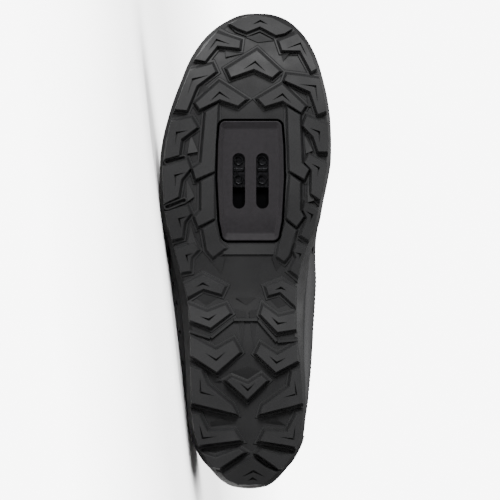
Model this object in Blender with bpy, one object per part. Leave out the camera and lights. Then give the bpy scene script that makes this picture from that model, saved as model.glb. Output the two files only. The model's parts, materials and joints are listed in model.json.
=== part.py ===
"""Right off-road cycling shoe, lying on its lateral side. Lengths in millimetres in the shoe's own frame:
x to the lateral side, y from heel to toe, z up from the tread. A parent empty lays the shoe down."""

import math

import bmesh
import bpy
import numpy as np
from mathutils import Matrix, Vector

MM = 0.001

# Driving sizes
LENGTH = 285.0
BALL_WIDTH = 104.0
INSTEP_HEIGHT = 97.0
HEEL_STACK = 28.0
TOE_SPRING = 18.0
LUG_HEIGHT = 5.0
LUG_ARM = 20.0
LUG_BAR = 6.0
LUG_DRAFT = 0.7
LUG_ROOT = 4.5
LUG_TUCK = 0.15
TREAD_SETBACK = 1.7
TREAD_MARGIN = 0.3
BASE_INSET = 2.2
BASE_BEVEL = 1.2
BASE_SHOULDER = 3.2
SIDE_SWELL = 1.1
SIDE_STEP = 1.9
SIDE_LEDGE = 0.9
WALL = 3.0
GAP = 0.35
SHEET = 1.2
STRAP_THICKNESS = 1.8
TONGUE_THICKNESS = 4.0
TONGUE_RISE = 6.0
TONGUE_CROWN = 17.0
TONGUE_LEAN = 6.0
TONGUE_CROWN_LEAN = 9.0
INSOLE_THICKNESS = 3.5
INSOLE_RIM = 0.5
INSOLE_EASE = 0.6
PLATE_FLANGE = 5.0
PLATE_FLOOR = 2.4
FLANGE_RISE = 2.6
FLANGE_DROP = 0.05
TRAY_DEPTH = 1.5
TRAY_MOUTH = 1.2
TRAY_RIM = 3.6
CLEAT_SPACING = 14.1
SLOT_LENGTH = 33.3
SLOT_WIDTH = 7.5
NUT_THICKNESS = 2.0
NUT_WIDTH = 24.0
NUT_LENGTH = 21.0
NUT_TRAVEL = 21.0
NUT_CORNER = 2.5
BOSS_RADIUS = 2.7
BOSS_DROP = 1.6
THREAD_RADIUS = 2.1
BOSS_PITCH = 11.4

# Materials: colour, roughness, metallic, weight in grams a cubic centimetre
MATERIALS = {
    "rubber": ((0.045, 0.045, 0.047), 0.75, 0.0, 1.2),
    "nylon": ((0.050, 0.048, 0.052), 0.50, 0.0, 1.05),
    "steel": ((0.50, 0.50, 0.52), 0.35, 1.0, 7.8),
    "foam": ((0.090, 0.090, 0.095), 0.90, 0.0, 0.3),
    "coated": ((0.035, 0.035, 0.038), 0.70, 0.0, 0.9),
    "guard": ((0.030, 0.030, 0.032), 0.45, 0.0, 1.05),
    "mesh": ((0.050, 0.050, 0.053), 0.85, 0.0, 0.3),
    "webbing": ((0.040, 0.040, 0.043), 0.60, 0.0, 0.3),
    "cutter": ((0.0, 0.0, 0.0), 1.0, 0.0, 0.0),
}

# Plan outlines: share of LENGTH, then half widths as shares of BALL_WIDTH
# along, tread lateral, tread medial, feather lateral, feather medial
OUTLINE = (
    (0.000, 0.048, 0.072, 0.063, 0.087),
    (0.016, 0.135, 0.139, 0.149, 0.159),
    (0.037, 0.197, 0.207, 0.207, 0.216),
    (0.060, 0.250, 0.255, 0.264, 0.269),
    (0.100, 0.303, 0.303, 0.313, 0.313),
    (0.150, 0.325, 0.323, 0.337, 0.325),
    (0.220, 0.329, 0.317, 0.351, 0.327),
    (0.310, 0.332, 0.286, 0.365, 0.322),
    (0.390, 0.345, 0.279, 0.385, 0.327),
    (0.455, 0.389, 0.298, 0.418, 0.346),
    (0.520, 0.435, 0.356, 0.457, 0.380),
    (0.560, 0.468, 0.394, 0.486, 0.413),
    (0.600, 0.484, 0.416, 0.503, 0.432),
    (0.645, 0.490, 0.442, 0.500, 0.458),
    (0.690, 0.488, 0.460, 0.495, 0.477),
    (0.730, 0.471, 0.466, 0.484, 0.475),
    (0.770, 0.445, 0.462, 0.458, 0.471),
    (0.815, 0.404, 0.445, 0.423, 0.457),
    (0.855, 0.363, 0.421, 0.381, 0.433),
    (0.900, 0.313, 0.385, 0.330, 0.398),
    (0.940, 0.245, 0.333, 0.260, 0.346),
    (0.968, 0.168, 0.269, 0.186, 0.288),
    (0.985, 0.096, 0.207, 0.113, 0.231),
    (0.995, 0.038, 0.135, 0.053, 0.168),
    (1.000, -0.029, 0.077, -0.019, 0.096),
)

# Side profile: share of LENGTH, tread as a share of TOE_SPRING, sole top of HEEL_STACK, lugs of LUG_HEIGHT
# along, tread, top, lug
PROFILE = (
    (0.00, 0.28, 1.11, 1.20),
    (0.03, 0.08, 1.05, 1.20),
    (0.07, 0.00, 1.02, 1.20),
    (0.15, 0.00, 0.98, 1.20),
    (0.25, 0.00, 0.93, 1.10),
    (0.33, 0.14, 0.86, 0.80),
    (0.42, 0.33, 0.73, 0.60),
    (0.50, 0.25, 0.63, 0.64),
    (0.56, 0.08, 0.54, 0.80),
    (0.60, 0.00, 0.49, 0.96),
    (0.70, 0.00, 0.465, 1.00),
    (0.78, 0.00, 0.48, 1.00),
    (0.85, 0.11, 0.57, 1.00),
    (0.92, 0.39, 0.75, 0.96),
    (0.97, 0.72, 0.95, 0.84),
    (1.00, 1.00, 1.11, 0.70),
)

# Chevron lugs: apex as shares of BALL_WIDTH and LENGTH, the notch inside it as a heading and a share of
# LUG_BAR, then each arm's heading, its reach as a share of LUG_ARM, its width and end cut in LUG_BAR.
# Headings are degrees from the toe towards the lateral side.
# name, across, along, notch heading, notch, heading, reach, width, cut, heading, reach, width, cut
LUGS = (
    ("toe_lateral", 0.182, 0.956, -173, 1.31, 142, 1.01, 0.91, -0.46, -108, 0.77, 0.74, 0.14),
    ("toe_medial", -0.303, 0.954, 180, 1.7, 110, 0.67, 0.95, 0.02, -152, 1.19, 0.8, -0.09),
    ("toe_centre", -0.055, 0.919, 171, 1.92, 122, 1.06, 0.93, 0.11, -133, 0.92, 0.99, -0.1),
    ("ball_lateral_1", 0.343, 0.876, -149, 1.75, 160, 1.23, 1.26, -0.35, -75, 0.75, 0.82, 0.14),
    ("ball_medial_1", -0.43, 0.859, 137, 1.77, 83, 1.06, 0.63, 0.17, -172, 0.98, 0.93, 0.17),
    ("box_lateral", 0.162, 0.852, -178, 1.75, 132, 0.95, 0.71, 0.1, -123, 0.95, 0.98, -0.31),
    ("box_medial", -0.199, 0.847, -178, 1.65, 121, 0.84, 1.0, -0.21, -134, 0.95, 0.71, 0.13),
    ("ball_lateral_2", 0.447, 0.768, -146, 2.05, 172, 1.12, 1.38, -0.61, -79, 0.66, 1.03, 0.37),
    ("ball_medial_2", -0.462, 0.761, 127, 1.82, 67, 0.69, 1.01, -0.05, -178, 0.78, 1.05, -0.04),
    ("ball_lateral_3", 0.487, 0.674, -124, 2.23, 180, 1.1, 1.55, -0.7, -73, 0.75, 0.96, 0.07),
    ("ball_medial_3", -0.459, 0.678, 108, 1.63, 60, 0.63, 0.92, -0.01, 169, 1.05, 1.04, -0.41),
    ("waist_lateral_1", 0.47, 0.579, -116, 2.06, -168, 0.84, 1.08, -0.02, -73, 0.66, 0.87, 0.1),
    ("waist_medial_1", -0.407, 0.582, 124, 1.33, 58, 0.46, 0.74, -0.22, 164, 0.91, 1.0, -0.23),
    ("waist_lateral_2", 0.418, 0.5, -115, 1.77, -166, 0.69, 0.96, 0.08, -71, 0.6, 0.74, 0.17),
    ("waist_medial_2", -0.338, 0.504, 136, 1.38, 73, 0.31, 0.65, 0.07, 164, 0.86, 0.92, -0.3),
    ("arch_lateral", 0.257, 0.447, -178, 1.35, 117, 0.62, 1.13, 0.53, -117, 0.74, 0.83, 0.02),
    ("arch_medial", -0.199, 0.435, 170, 1.12, 111, 0.51, 0.84, 0.05, -119, 0.5, 1.54, 0.73),
    ("heel_lateral_1", 0.211, 0.337, 13, 1.59, 70, 0.65, 1.37, 0.77, -53, 0.72, 0.91, 0.13),
    ("heel_medial_1", -0.173, 0.328, -2, 1.5, 44, 0.73, 0.77, 0.44, -81, 0.56, 1.6, 0.11),
    ("heel_lateral_2", 0.176, 0.244, 3, 2.2, 57, 0.94, 1.56, 1.0, -49, 0.91, 1.33, 0.3),
    ("heel_medial_2", -0.164, 0.244, -3, 1.7, 47, 0.81, 0.96, 0.29, -62, 0.73, 1.52, 0.76),
    ("heel_centre", 0.0, 0.187, -2, 1.5, 48, 0.83, 0.56, -0.17, -46, 0.8, 0.74, -0.05),
    ("heel_lateral_3", 0.32, 0.18, -40, 2.34, 2, 1.05, 1.04, -0.34, -104, 1.38, 0.71, -0.65),
    ("heel_medial_3", -0.329, 0.18, 45, 2.19, 104, 1.38, 0.7, -0.48, 7, 1.06, 0.89, -0.29),
    ("heel_lateral_4", 0.286, 0.091, -35, 1.65, 13, 0.97, 0.84, -0.39, -83, 1.27, 1.01, -0.48),
    ("heel_medial_4", -0.303, 0.087, 40, 2.02, 81, 1.22, 1.02, -0.34, -8, 1.03, 0.83, -0.21),
    ("heel_lateral_5", 0.159, 0.043, 21, 1.12, 86, 0.42, 1.34, 0.95, -57, 0.86, 0.59, -0.27),
    ("heel_medial_5", -0.17, 0.044, -23, 1.25, 55, 0.73, 0.6, -0.25, -88, 0.36, 1.16, 1.05),
    ("rail_lateral_1", 0.19, 0.665, 58, 1.53, -3, 1.98, 1.15, -0.82, 113, 0.6, 1.04, -0.12),
    ("rail_lateral_2", 0.193, 0.566, 59, 1.46, 0, 1.29, 1.25, -0.65, 117, 0.52, 1.0, -0.12),
    ("rail_lateral_3", 0.164, 0.519, 127, 1.5, 12, 0.57, 1.27, -0.44, -139, 0.28, 1.5, -0.1),
    ("rail_medial_1", -0.242, 0.666, -58, 1.42, 2, 1.88, 1.18, -0.79, -120, 0.5, 1.05, -0.09),
    ("rail_medial_2", -0.225, 0.567, -58, 1.53, -5, 1.28, 1.01, -0.67, -130, 0.39, 1.18, -0.08),
    ("rail_medial_3", -0.182, 0.508, -132, 1.35, -15, 0.73, 1.19, -0.55, 169, 0.31, 0.78, 0.35),
)

# End lugs, which follow the toe and the heel: pairs of an outer and an inner corner along the edge
# outer across, outer along, inner across, inner along
TOE_CROWN = (
    (0.101, 0.975, 0.060, 0.966),
    (0.043, 0.987, 0.003, 0.958),
    (-0.061, 0.993, -0.072, 0.969),
    (-0.164, 0.988, -0.164, 0.951),
    (-0.274, 0.965, -0.215, 0.955),
)
HEEL_END = (
    (0.164, 0.020, 0.139, 0.027),
    (0.089, 0.007, 0.055, 0.048),
    (-0.014, 0.002, -0.026, 0.063),
    (-0.118, 0.009, -0.100, 0.043),
    (-0.179, 0.024, -0.165, 0.033),
)

# Cleat window: its half width along the sole, as shares of BALL_WIDTH and LENGTH, about WINDOW_AXIS
# along, half width
WINDOW = (
    (0.516, 0.166),
    (0.560, 0.189),
    (0.650, 0.202),
    (0.720, 0.198),
    (0.774, 0.186),
)
WINDOW_AXIS = -0.018
WINDOW_CORNER = 4.5
SLOT_CENTRE = 0.645
BOSS_CENTRE = 0.668

# Middle of the foot, which swings to the medial side at the toe, in BALL_WIDTH
FOOT_OFFSET = -0.012
FOOT_SWING = -0.045

# Upper, by the station round its foot from heel to toe: the edge of collar and throat (along as a share of
# LENGTH, half width of BALL_WIDTH, height of INSTEP_HEIGHT), the pull of the wall at foot and edge in
# INSTEP_HEIGHT, and how far its foot stands in from the sole's edge in BALL_WIDTH
# station, edge along, edge half, edge height, foot out, foot up, edge out, edge drop, foot in
UPPER = (
    (0.00, 0.030, 0.000, 1.00, 0.050, 0.26, 0.040, 0.26, 0.018),
    (0.05, 0.038, 0.110, 0.985, 0.045, 0.25, 0.030, 0.24, 0.018),
    (0.10, 0.080, 0.205, 0.94, 0.035, 0.23, 0.020, 0.22, 0.017),
    (0.16, 0.155, 0.262, 0.87, 0.030, 0.19, 0.015, 0.20, 0.016),
    (0.26, 0.265, 0.286, 0.80, 0.075, 0.12, 0.015, 0.19, 0.008),
    (0.36, 0.365, 0.275, 0.87, 0.115, 0.11, 0.050, 0.19, 0.002),
    (0.44, 0.449, 0.216, 1.00, 0.140, 0.14, 0.130, 0.16, 0.000),
    (0.50, 0.512, 0.168, 0.95, 0.080, 0.20, 0.190, 0.09, 0.004),
    (0.57, 0.580, 0.142, 0.86, 0.012, 0.27, 0.230, 0.06, 0.014),
    (0.66, 0.667, 0.120, 0.74, 0.020, 0.27, 0.250, 0.04, 0.016),
    (0.74, 0.723, 0.096, 0.68, 0.025, 0.27, 0.260, 0.03, 0.018),
    (0.82, 0.747, 0.067, 0.655, 0.030, 0.26, 0.300, 0.03, 0.020),
    (0.92, 0.758, 0.034, 0.645, 0.030, 0.24, 0.340, 0.03, 0.020),
    (1.00, 0.761, 0.000, 0.64, 0.020, 0.23, 0.350, 0.03, 0.020),
)

# Overlays on the upper: from station, to station, top of the patch up the wall at each end and in the middle
TOE_CAP = (0.76, 1.0, 0.16, 0.34)
HEEL_COUNTER = (0.20, 0.0, 0.24, 0.52)

# Tongue: station at its root and where it leaves the throat, then how far down the wall it reaches
TONGUE = (0.90, 0.455, 0.86, -0.07, 0.09)

# Straps: name, first station, last station, medial end and lateral end up the wall
STRAPS = (
    ("strap_front", 0.655, 0.725, 0.50, 0.52),
    ("strap_middle", 0.565, 0.630, 0.52, 0.50),
    ("strap_top", 0.470, 0.540, 0.55, 0.46),
)

# Cutters run past everything between these heights
BELOW = -LUG_HEIGHT
ABOVE = 1.5 * HEEL_STACK

UPPER_ROWS = 9


def column(rows, key, value, at):
    """Value of one column of a table at a place between its rows, without overshoot."""
    xs = [row[key] for row in rows]
    ys = [row[value] for row in rows]
    at = min(max(at, xs[0]), xs[-1])
    k = max(i for i in range(len(xs) - 1) if xs[i] <= at + 1e-12)
    steps = [(ys[i + 1] - ys[i]) / (xs[i + 1] - xs[i]) for i in range(len(xs) - 1)]

    def slope(i):
        if i == 0:
            return steps[0]
        if i == len(xs) - 1:
            return steps[-1]
        a, b = steps[i - 1], steps[i]
        return 0.0 if a * b <= 0 else 2 * a * b / (a + b)

    h = xs[k + 1] - xs[k]
    t = (at - xs[k]) / h
    a, b = slope(k) * h, slope(k + 1) * h
    rise = ys[k + 1] - ys[k]
    return ys[k] + t * (a + t * (3 * rise - 2 * a - b + t * (a + b - 2 * rise)))


def along_of(station):
    """Share of the length at a station round the foot, close together at heel and toe."""
    return (1 - math.cos(math.pi * station)) / 2


def station_of(along):
    return math.acos(1 - 2 * min(max(along, 0.0), 1.0)) / math.pi


STATION_OUTLINE = tuple((station_of(row[0]),) + row[1:] for row in OUTLINE)


def half_width(station, side, ring):
    """Half width of the tread (ring 0) or the feather line (ring 1) at a station, signed by side."""
    value = 1 + 2 * ring + (0 if side > 0 else 1)
    return side * BALL_WIDTH * column(STATION_OUTLINE, 0, value, station)


def tread_z(y):
    return TOE_SPRING * column(PROFILE, 0, 1, y / LENGTH)


def top_z(y):
    return HEEL_STACK * column(PROFILE, 0, 2, y / LENGTH)


def root_z(y):
    return tread_z(y) + LUG_HEIGHT * column(PROFILE, 0, 3, y / LENGTH)


def tread_point(station, side):
    y = TREAD_SETBACK + (LENGTH - 2 * TREAD_SETBACK) * along_of(station)
    return half_width(station, side, 0), y


def feather_point(station, side):
    return half_width(station, side, 1), LENGTH * along_of(station)


def mesh_object(name, points, faces, stuff="cutter"):
    """Solid from points in millimetres, with its own material."""
    colour, roughness, metallic, weight = MATERIALS[stuff]
    mesh = bpy.data.meshes.new(name)
    mesh.from_pydata([(x * MM, y * MM, z * MM) for x, y, z in points], [], faces)
    mesh.validate()
    obj = bpy.data.objects.new(name, mesh)
    bpy.context.scene.collection.objects.link(obj)
    work = bmesh.new()
    work.from_mesh(mesh)
    bmesh.ops.recalc_face_normals(work, faces=work.faces)
    bmesh.ops.triangulate(work, faces=[f for f in work.faces if len(f.verts) > 4])
    work.to_mesh(mesh)
    work.free()
    material = bpy.data.materials.new(name)
    material.use_nodes = True
    shader = material.node_tree.nodes["Principled BSDF"]
    shader.inputs["Base Color"].default_value = (*colour, 1.0)
    shader.inputs["Roughness"].default_value = roughness
    shader.inputs["Metallic"].default_value = metallic
    mesh.materials.append(material)
    obj["weight"] = weight
    return obj


def tube(rings, closed=False, strips=True):
    """Points and faces of a loft through rings of equal count: capped at its ends, or closed on itself.
    A cap runs in strips between a ring's first half and its second, so that it follows a curved height."""
    count = len(rings[0])
    points = [p for ring in rings for p in ring]
    faces = []
    spans = len(rings) if closed else len(rings) - 1
    for i in range(spans):
        low, high = i * count, (i + 1) % len(rings) * count
        for j in range(count):
            k = (j + 1) % count
            faces.append((low + j, low + k, high + k, high + j))
    if closed:
        return points, faces
    last = len(points) - count
    if not strips:
        return points, faces + [tuple(range(count))[::-1], tuple(range(last, last + count))]
    for k in range(count // 2 - 1):
        strip = (k, k + 1, count - 2 - k, count - 1 - k)
        faces.append(strip[::-1])
        faces.append(tuple(last + j for j in strip))
    return points, faces


def sheet(front, back):
    """Points and faces of a closed sheet between two grids of equal size."""
    rings = [list(a) + list(b)[::-1] for a, b in zip(front, back)]
    return tube(rings)


def cut(obj, cutter, operation="DIFFERENCE"):
    """Exact boolean, applied, and the cutter removed."""
    modifier = obj.modifiers.new("join", "BOOLEAN")
    modifier.object = cutter
    modifier.operation = operation
    modifier.solver = "EXACT"
    bpy.context.view_layer.update()
    graph = bpy.context.evaluated_depsgraph_get()
    mesh = bpy.data.meshes.new_from_object(obj.evaluated_get(graph))
    obj.modifiers.clear()
    old = obj.data
    obj.data = mesh
    mesh.name = obj.name
    bpy.data.meshes.remove(old)
    bpy.data.objects.remove(cutter)


def grown(corners, by):
    """Polygon with each side moved out by a distance; corners run anticlockwise."""
    found = []
    count = len(corners)
    for i in range(count):
        before, here, after = (Vector(corners[(i + k) % count]) for k in (-1, 0, 1))
        first, second = (here - before).normalized(), (after - here).normalized()
        out = Vector((first.y, -first.x)) + Vector((second.y, -second.x))
        out *= 2 / max(out.length_squared, 1.2)
        found.append(tuple(here + out * by))
    return found


def anticlockwise(corners):
    area = sum(a[0] * b[1] - a[1] * b[0] for a, b in zip(corners, corners[1:] + corners[:1]))
    return corners if area > 0 else corners[::-1]


def rounded(corners, radius, steps=4):
    """Polygon with its sharp corners turned into arcs."""
    found = []
    count = len(corners)
    for i in range(count):
        before, here, after = (Vector(corners[(i + k) % count]) for k in (-1, 0, 1))
        back, on = (before - here).normalized(), (after - here).normalized()
        half = back.angle(on) / 2
        if half > math.radians(75):
            found.append(tuple(here))
            continue
        reach = radius / math.tan(half)
        centre = here + (back + on).normalized() * radius / math.sin(half)
        first, last = here + back * reach - centre, here + on * reach - centre
        for k in range(steps + 1):
            turn = first.lerp(last, k / steps).normalized() if k else first.normalized()
            found.append(tuple(centre + turn * radius))
    return found


def heading(degrees):
    return Vector((math.sin(math.radians(degrees)), math.cos(math.radians(degrees))))


def chevron(row):
    """Six corners of a lug: outer tip, apex, outer tip, inner tip, notch, inner tip."""
    apex = Vector((row[1] * BALL_WIDTH, row[2] * LENGTH))
    inward = heading(row[3]) * row[4] * LUG_BAR
    outer, inner = [], []
    for angle, reach, width, end_cut in (row[5:9], row[9:13]):
        arm = heading(angle)
        across = (inward - arm * inward.dot(arm)).normalized()
        outer.append(apex + arm * reach * LUG_ARM)
        inner.append(apex + arm * (reach * LUG_ARM + end_cut * LUG_BAR) + across * width * LUG_BAR)
    return [tuple(p) for p in (outer[0], apex, outer[1], inner[1], apex + inward, inner[0])]


def band(rows):
    """Corners of an end lug, outer edge then inner edge back."""
    outer = [(row[0] * BALL_WIDTH, row[1] * LENGTH) for row in rows]
    inner = [(row[2] * BALL_WIDTH, row[3] * LENGTH) for row in rows]
    return outer + inner[::-1]


def within_tread(corner, margin):
    """Corner kept inside the tread outline."""
    x, y = corner
    y = min(max(y, TREAD_SETBACK + margin), LENGTH - TREAD_SETBACK - margin)
    share = (y - TREAD_SETBACK) / (LENGTH - 2 * TREAD_SETBACK)
    low = half_width(station_of(share), -1, 0) + margin
    high = half_width(station_of(share), 1, 0) - margin
    return min(max(x, low), high), y


def lug_solid(corners):
    """Drafted block from the tread face to inside the sole."""
    corners = anticlockwise(corners)
    face = [within_tread(c, TREAD_MARGIN) for c in grown(corners, -LUG_TUCK)]
    foot = [within_tread(c, 0.0) for c in grown(corners, LUG_DRAFT)]
    hold = [within_tread(c, TREAD_MARGIN + LUG_DRAFT) for c in grown(corners, -2 * LUG_TUCK)]
    rings = [
        [(x, y, tread_z(y)) for x, y in face],
        [(x, y, root_z(y) + TREAD_MARGIN) for x, y in foot],
        [(x, y, root_z(y) + LUG_ROOT) for x, y in hold],
    ]
    return tube(rings)


def prism(corners, low, high):
    """Block over a polygon between two heights, each a number or a function of y."""
    rings = []
    for level in (low, high):
        height = level if callable(level) else (lambda y, z=level: z)
        rings.append([(x, y, height(y)) for x, y in corners])
    return tube(rings)


def split(corners, pitch=9.0):
    """Polygon with its long sides split along y, so that a block over it can follow a curved height."""
    found = []
    for a, b in zip(corners, corners[1:] + corners[:1]):
        parts = max(1, round(abs(b[1] - a[1]) / pitch))
        for k in range(parts):
            t = k / parts
            found.append((a[0] + (b[0] - a[0]) * t, a[1] + (b[1] - a[1]) * t))
    return found


def window_corners(margin):
    """Cleat window grown by a margin, anticlockwise; every margin gives the same count."""
    axis = WINDOW_AXIS * BALL_WIDTH
    right = [(axis + row[1] * BALL_WIDTH, row[0] * LENGTH) for row in WINDOW]
    left = [(axis - row[1] * BALL_WIDTH, row[0] * LENGTH) for row in WINDOW]
    plan = rounded(anticlockwise(right + left[::-1]), WINDOW_CORNER)
    return grown(split(plan), margin)


def flange_z(y):
    return root_z(y) + FLANGE_RISE


def make_outsole():
    """Rubber sole: a stepped wall, the base, the lugs, and the window for the cleat plate."""
    stations = 46
    rings = []
    for i in range(stations):
        s = i / (stations - 1)
        ring = []
        sides = {}
        for side in (-1, 1):
            tx, ty = tread_point(s, side)
            fx, fy = feather_point(s, side)
            low, high = root_z(ty), top_z(fy)
            edge = side * min(BASE_INSET, abs(tx) * 0.6)
            step_z = low + 0.55 * (high - low)
            mid_x, mid_y = tx + 0.62 * (fx - tx) + side * SIDE_SWELL, ty + 0.62 * (fy - ty)
            sides[side] = [
                (tx - edge, ty, low),
                (tx - edge * 0.25, ty, low + BASE_BEVEL),
                (tx + side * TREAD_MARGIN, ty, low + BASE_SHOULDER),
                (mid_x, mid_y, step_z),
                (mid_x - side * SIDE_STEP, mid_y, step_z + SIDE_LEDGE),
                (fx, fy, high),
            ]
        floor_l, floor_r = sides[-1][0], sides[1][0]
        for k in range(1, 6):
            t = k / 6
            ring.append(tuple(a + (b - a) * t for a, b in zip(floor_l, floor_r)))
        ring.extend(sides[1])
        roof_r, roof_l = sides[1][-1], sides[-1][-1]
        for k in range(1, 4):
            t = k / 4
            ring.append(tuple(a + (b - a) * t for a, b in zip(roof_r, roof_l)))
        ring.extend(sides[-1][::-1])
        rings.append(ring)
    sole = mesh_object("outsole", *tube(rings, strips=False), "rubber")
    for row in LUGS:
        cut(sole, mesh_object("lug_" + row[0], *lug_solid(chevron(row))), "UNION")
    for name, rows in (("toe_crown", TOE_CROWN), ("heel_end", HEEL_END)):
        cut(sole, mesh_object("lug_" + name, *lug_solid(band(rows))), "UNION")
    cut(sole, mesh_object("hole", *prism(window_corners(0.0), BELOW, ABOVE)))
    seat = prism(window_corners(PLATE_FLANGE), lambda y: flange_z(y) - GAP, ABOVE)
    cut(sole, mesh_object("shelf", *seat))
    return sole


def floor_z(y):
    """Tray floor of the cleat plate: flat under the cleat, rising with the arch behind it."""
    return max(root_z(0.70 * LENGTH) + TRAY_DEPTH - GAP, root_z(y) - GAP + TRAY_DEPTH * 0.8)


def rim_z(y):
    return root_z(y) - GAP


def slot_corners(side, margin=0.0):
    """One long slot with round ends."""
    x = WINDOW_AXIS * BALL_WIDTH + side * CLEAT_SPACING / 2
    y = SLOT_CENTRE * LENGTH
    radius = SLOT_WIDTH / 2 + margin
    reach = SLOT_LENGTH / 2 + margin - radius
    found = []
    for end in (1, -1):
        for k in range(7):
            angle = math.pi * k / 6 + (0 if end > 0 else math.pi)
            found.append((x + radius * math.cos(angle), y + end * reach + radius * math.sin(angle)))
    return found


def make_cleat_plate():
    """Composite plate: flange under the insole, tray in the window, two slots and a pocket for the nut."""
    boss = prism(window_corners(-GAP), rim_z, lambda y: flange_z(y) + TRAY_DEPTH)
    body = mesh_object("cleat_plate", *boss, "nylon")
    flange = prism(window_corners(PLATE_FLANGE - GAP), flange_z, lambda y: top_z(y) - FLANGE_DROP)
    cut(body, mesh_object("flange", *flange), "UNION")
    mouth = window_corners(-TRAY_MOUTH)
    floor = window_corners(-TRAY_RIM)
    tray = [
        [(x, y, rim_z(y) + BELOW) for x, y in mouth],
        [(x, y, rim_z(y)) for x, y in mouth],
        [(x, y, floor_z(y)) for x, y in floor],
    ]
    cut(body, mesh_object("tray", *tube(tray)))
    y = SLOT_CENTRE * LENGTH
    pocket = plate_corners(y, NUT_WIDTH + 2 * NUT_CORNER, NUT_LENGTH + NUT_TRAVEL)
    cut(body, mesh_object("pocket", *prism(pocket, floor_z(y) + PLATE_FLOOR, ABOVE)))
    for side in (-1, 1):
        cut(body, mesh_object("slot", *prism(slot_corners(side), BELOW, ABOVE)))
    return body


def plate_corners(y, width, length):
    """Rounded oblong about the window's axis."""
    x = WINDOW_AXIS * BALL_WIDTH
    right, ahead = width / 2, length / 2
    plan = [(x - right, y - ahead), (x + right, y - ahead), (x + right, y + ahead), (x - right, y + ahead)]
    return rounded(plan, NUT_CORNER)


def circle(at, radius, steps=12):
    turns = [math.tau * k / steps for k in range(steps)]
    return [(at[0] + radius * math.cos(a), at[1] + radius * math.sin(a)) for a in turns]


def make_cleat_nut():
    """Steel plate with four threaded bosses that reach into the slots."""
    x = WINDOW_AXIS * BALL_WIDTH
    y = BOSS_CENTRE * LENGTH
    low = floor_z(SLOT_CENTRE * LENGTH) + PLATE_FLOOR + GAP
    plan = plate_corners(y, NUT_WIDTH, NUT_LENGTH)
    nut = mesh_object("cleat_nut", *prism(plan, low, low + NUT_THICKNESS), "steel")
    for side in (-1, 1):
        for end in (-1, 1):
            at = (x + side * CLEAT_SPACING / 2, y + end * BOSS_PITCH / 2)
            for radius, bottom, top, way in (
                (BOSS_RADIUS, low - BOSS_DROP, low + NUT_THICKNESS / 2, "UNION"),
                (THREAD_RADIUS, BELOW, ABOVE, "DIFFERENCE"),
            ):
                ring = circle(at, radius)
                cut(nut, mesh_object("boss", *prism(ring, bottom, top)), way)
    return nut


def outline_normal(station, side):
    """Outward direction of the feather line in plan."""
    step = 0.01
    if station < step:
        return Vector((0.0, -1.0, 0.0))
    if station > 1 - step:
        return Vector((0.0, 1.0, 0.0))
    run = Vector(feather_point(station + step, side)) - Vector(feather_point(station - step, side))
    run.normalize()
    return side * Vector((run.y, -run.x, 0.0))


def foot_axis(y):
    return BALL_WIDTH * (FOOT_OFFSET + FOOT_SWING * (y / LENGTH) ** 2)


def wall_point(station, side, up):
    """Outer face of the upper: station round the foot, and 0 at the feather line to 1 at the edge."""
    if station > 1:
        station, side = 2 - station, -side
    if station < 0:
        station, side = -station, -side
    fx, fy = feather_point(station, side)
    if station < 0.04 or station > 0.985:
        tip = 0.04 if station < 0.04 else 0.985
        ends = [feather_point(tip, way)[0] for way in (-1, 1)]
        share = (station / tip if station < 0.5 else (1 - station) / (1 - tip)) * side
        fx = (ends[0] + ends[1]) / 2 + share * (ends[1] - ends[0]) / 2
    value = [column(UPPER, 0, k, station) for k in range(9)]
    out = outline_normal(station, side)
    foot = Vector((fx, fy, 0.0)) - out * value[8] * BALL_WIDTH
    foot.z = top_z(foot.y) + GAP
    edge_y = value[1] * LENGTH
    edge = Vector((foot_axis(edge_y) + side * value[2] * BALL_WIDTH, edge_y, value[3] * INSTEP_HEIGHT))
    low = foot + out * value[4] * INSTEP_HEIGHT + Vector((0, 0, value[5] * INSTEP_HEIGHT))
    high = edge + out * value[6] * INSTEP_HEIGHT - Vector((0, 0, value[7] * INSTEP_HEIGHT))
    a, b = 1 - up, up
    return foot * a**3 + low * 3 * a * a * b + high * 3 * a * b * b + edge * b**3


def wall_normal(station, side, up):
    """Outward normal of the upper."""
    step = 0.012
    low, high = max(up - step, 0.0), min(up + step, 1.0)
    rise = wall_point(station, side, high) - wall_point(station, side, low)
    run = wall_point(station + step, side, up) - wall_point(station - step, side, up)
    found = run.cross(rise) * side
    return found.normalized()


def on_upper(station, side, up, off):
    """Point at a distance off the upper's outer face, never below its foot."""
    if station > 1:
        station, side = 2 - station, -side
    if station < 0:
        station, side = -station, -side
    point = wall_point(station, side, up) + wall_normal(station, side, up) * off
    if up == 0.0:
        point.z = 0.0
    point.z = max(point.z, top_z(point.y) + GAP)
    return point


def stations_round(count):
    """Stations round the whole foot, from the heel up the lateral side to the toe and back."""
    lateral = [(i / count, 1) for i in range(count + 1)]
    medial = [(i / count, -1) for i in range(count - 1, 0, -1)]
    return lateral + medial


def make_upper():
    """Hollow lasted shell: outer face, collar and throat edge, inner face, feather edge."""
    levels = [k / UPPER_ROWS for k in range(UPPER_ROWS + 1)]
    rings = []
    for s, side in stations_round(38):
        outer = [on_upper(s, side, t, 0.0) for t in levels]
        inner = [on_upper(s, side, t, -WALL) for t in levels]
        rings.append([tuple(p) for p in outer + inner[::-1]])
    return mesh_object("upper", *tube(rings, closed=True), "coated")


def make_patch(name, spec):
    """Overlay cut from the upper's own surface across the toe or the heel."""
    start, end, low, high = spec
    front, back = [], []
    count = 11
    for i in range(-count, count + 1):
        share = abs(i) / count
        s = end + (start - end) * share
        side = 1 if i >= 0 else -1
        top = low + (high - low) * (1 - share**2)
        levels = [top * k / 4 for k in range(5)]
        front.append([tuple(on_upper(s, side, t, GAP)) for t in levels])
        back.append([tuple(on_upper(s, side, t, GAP + SHEET)) for t in levels])
    return mesh_object(name, *sheet(front, back), "guard")


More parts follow.
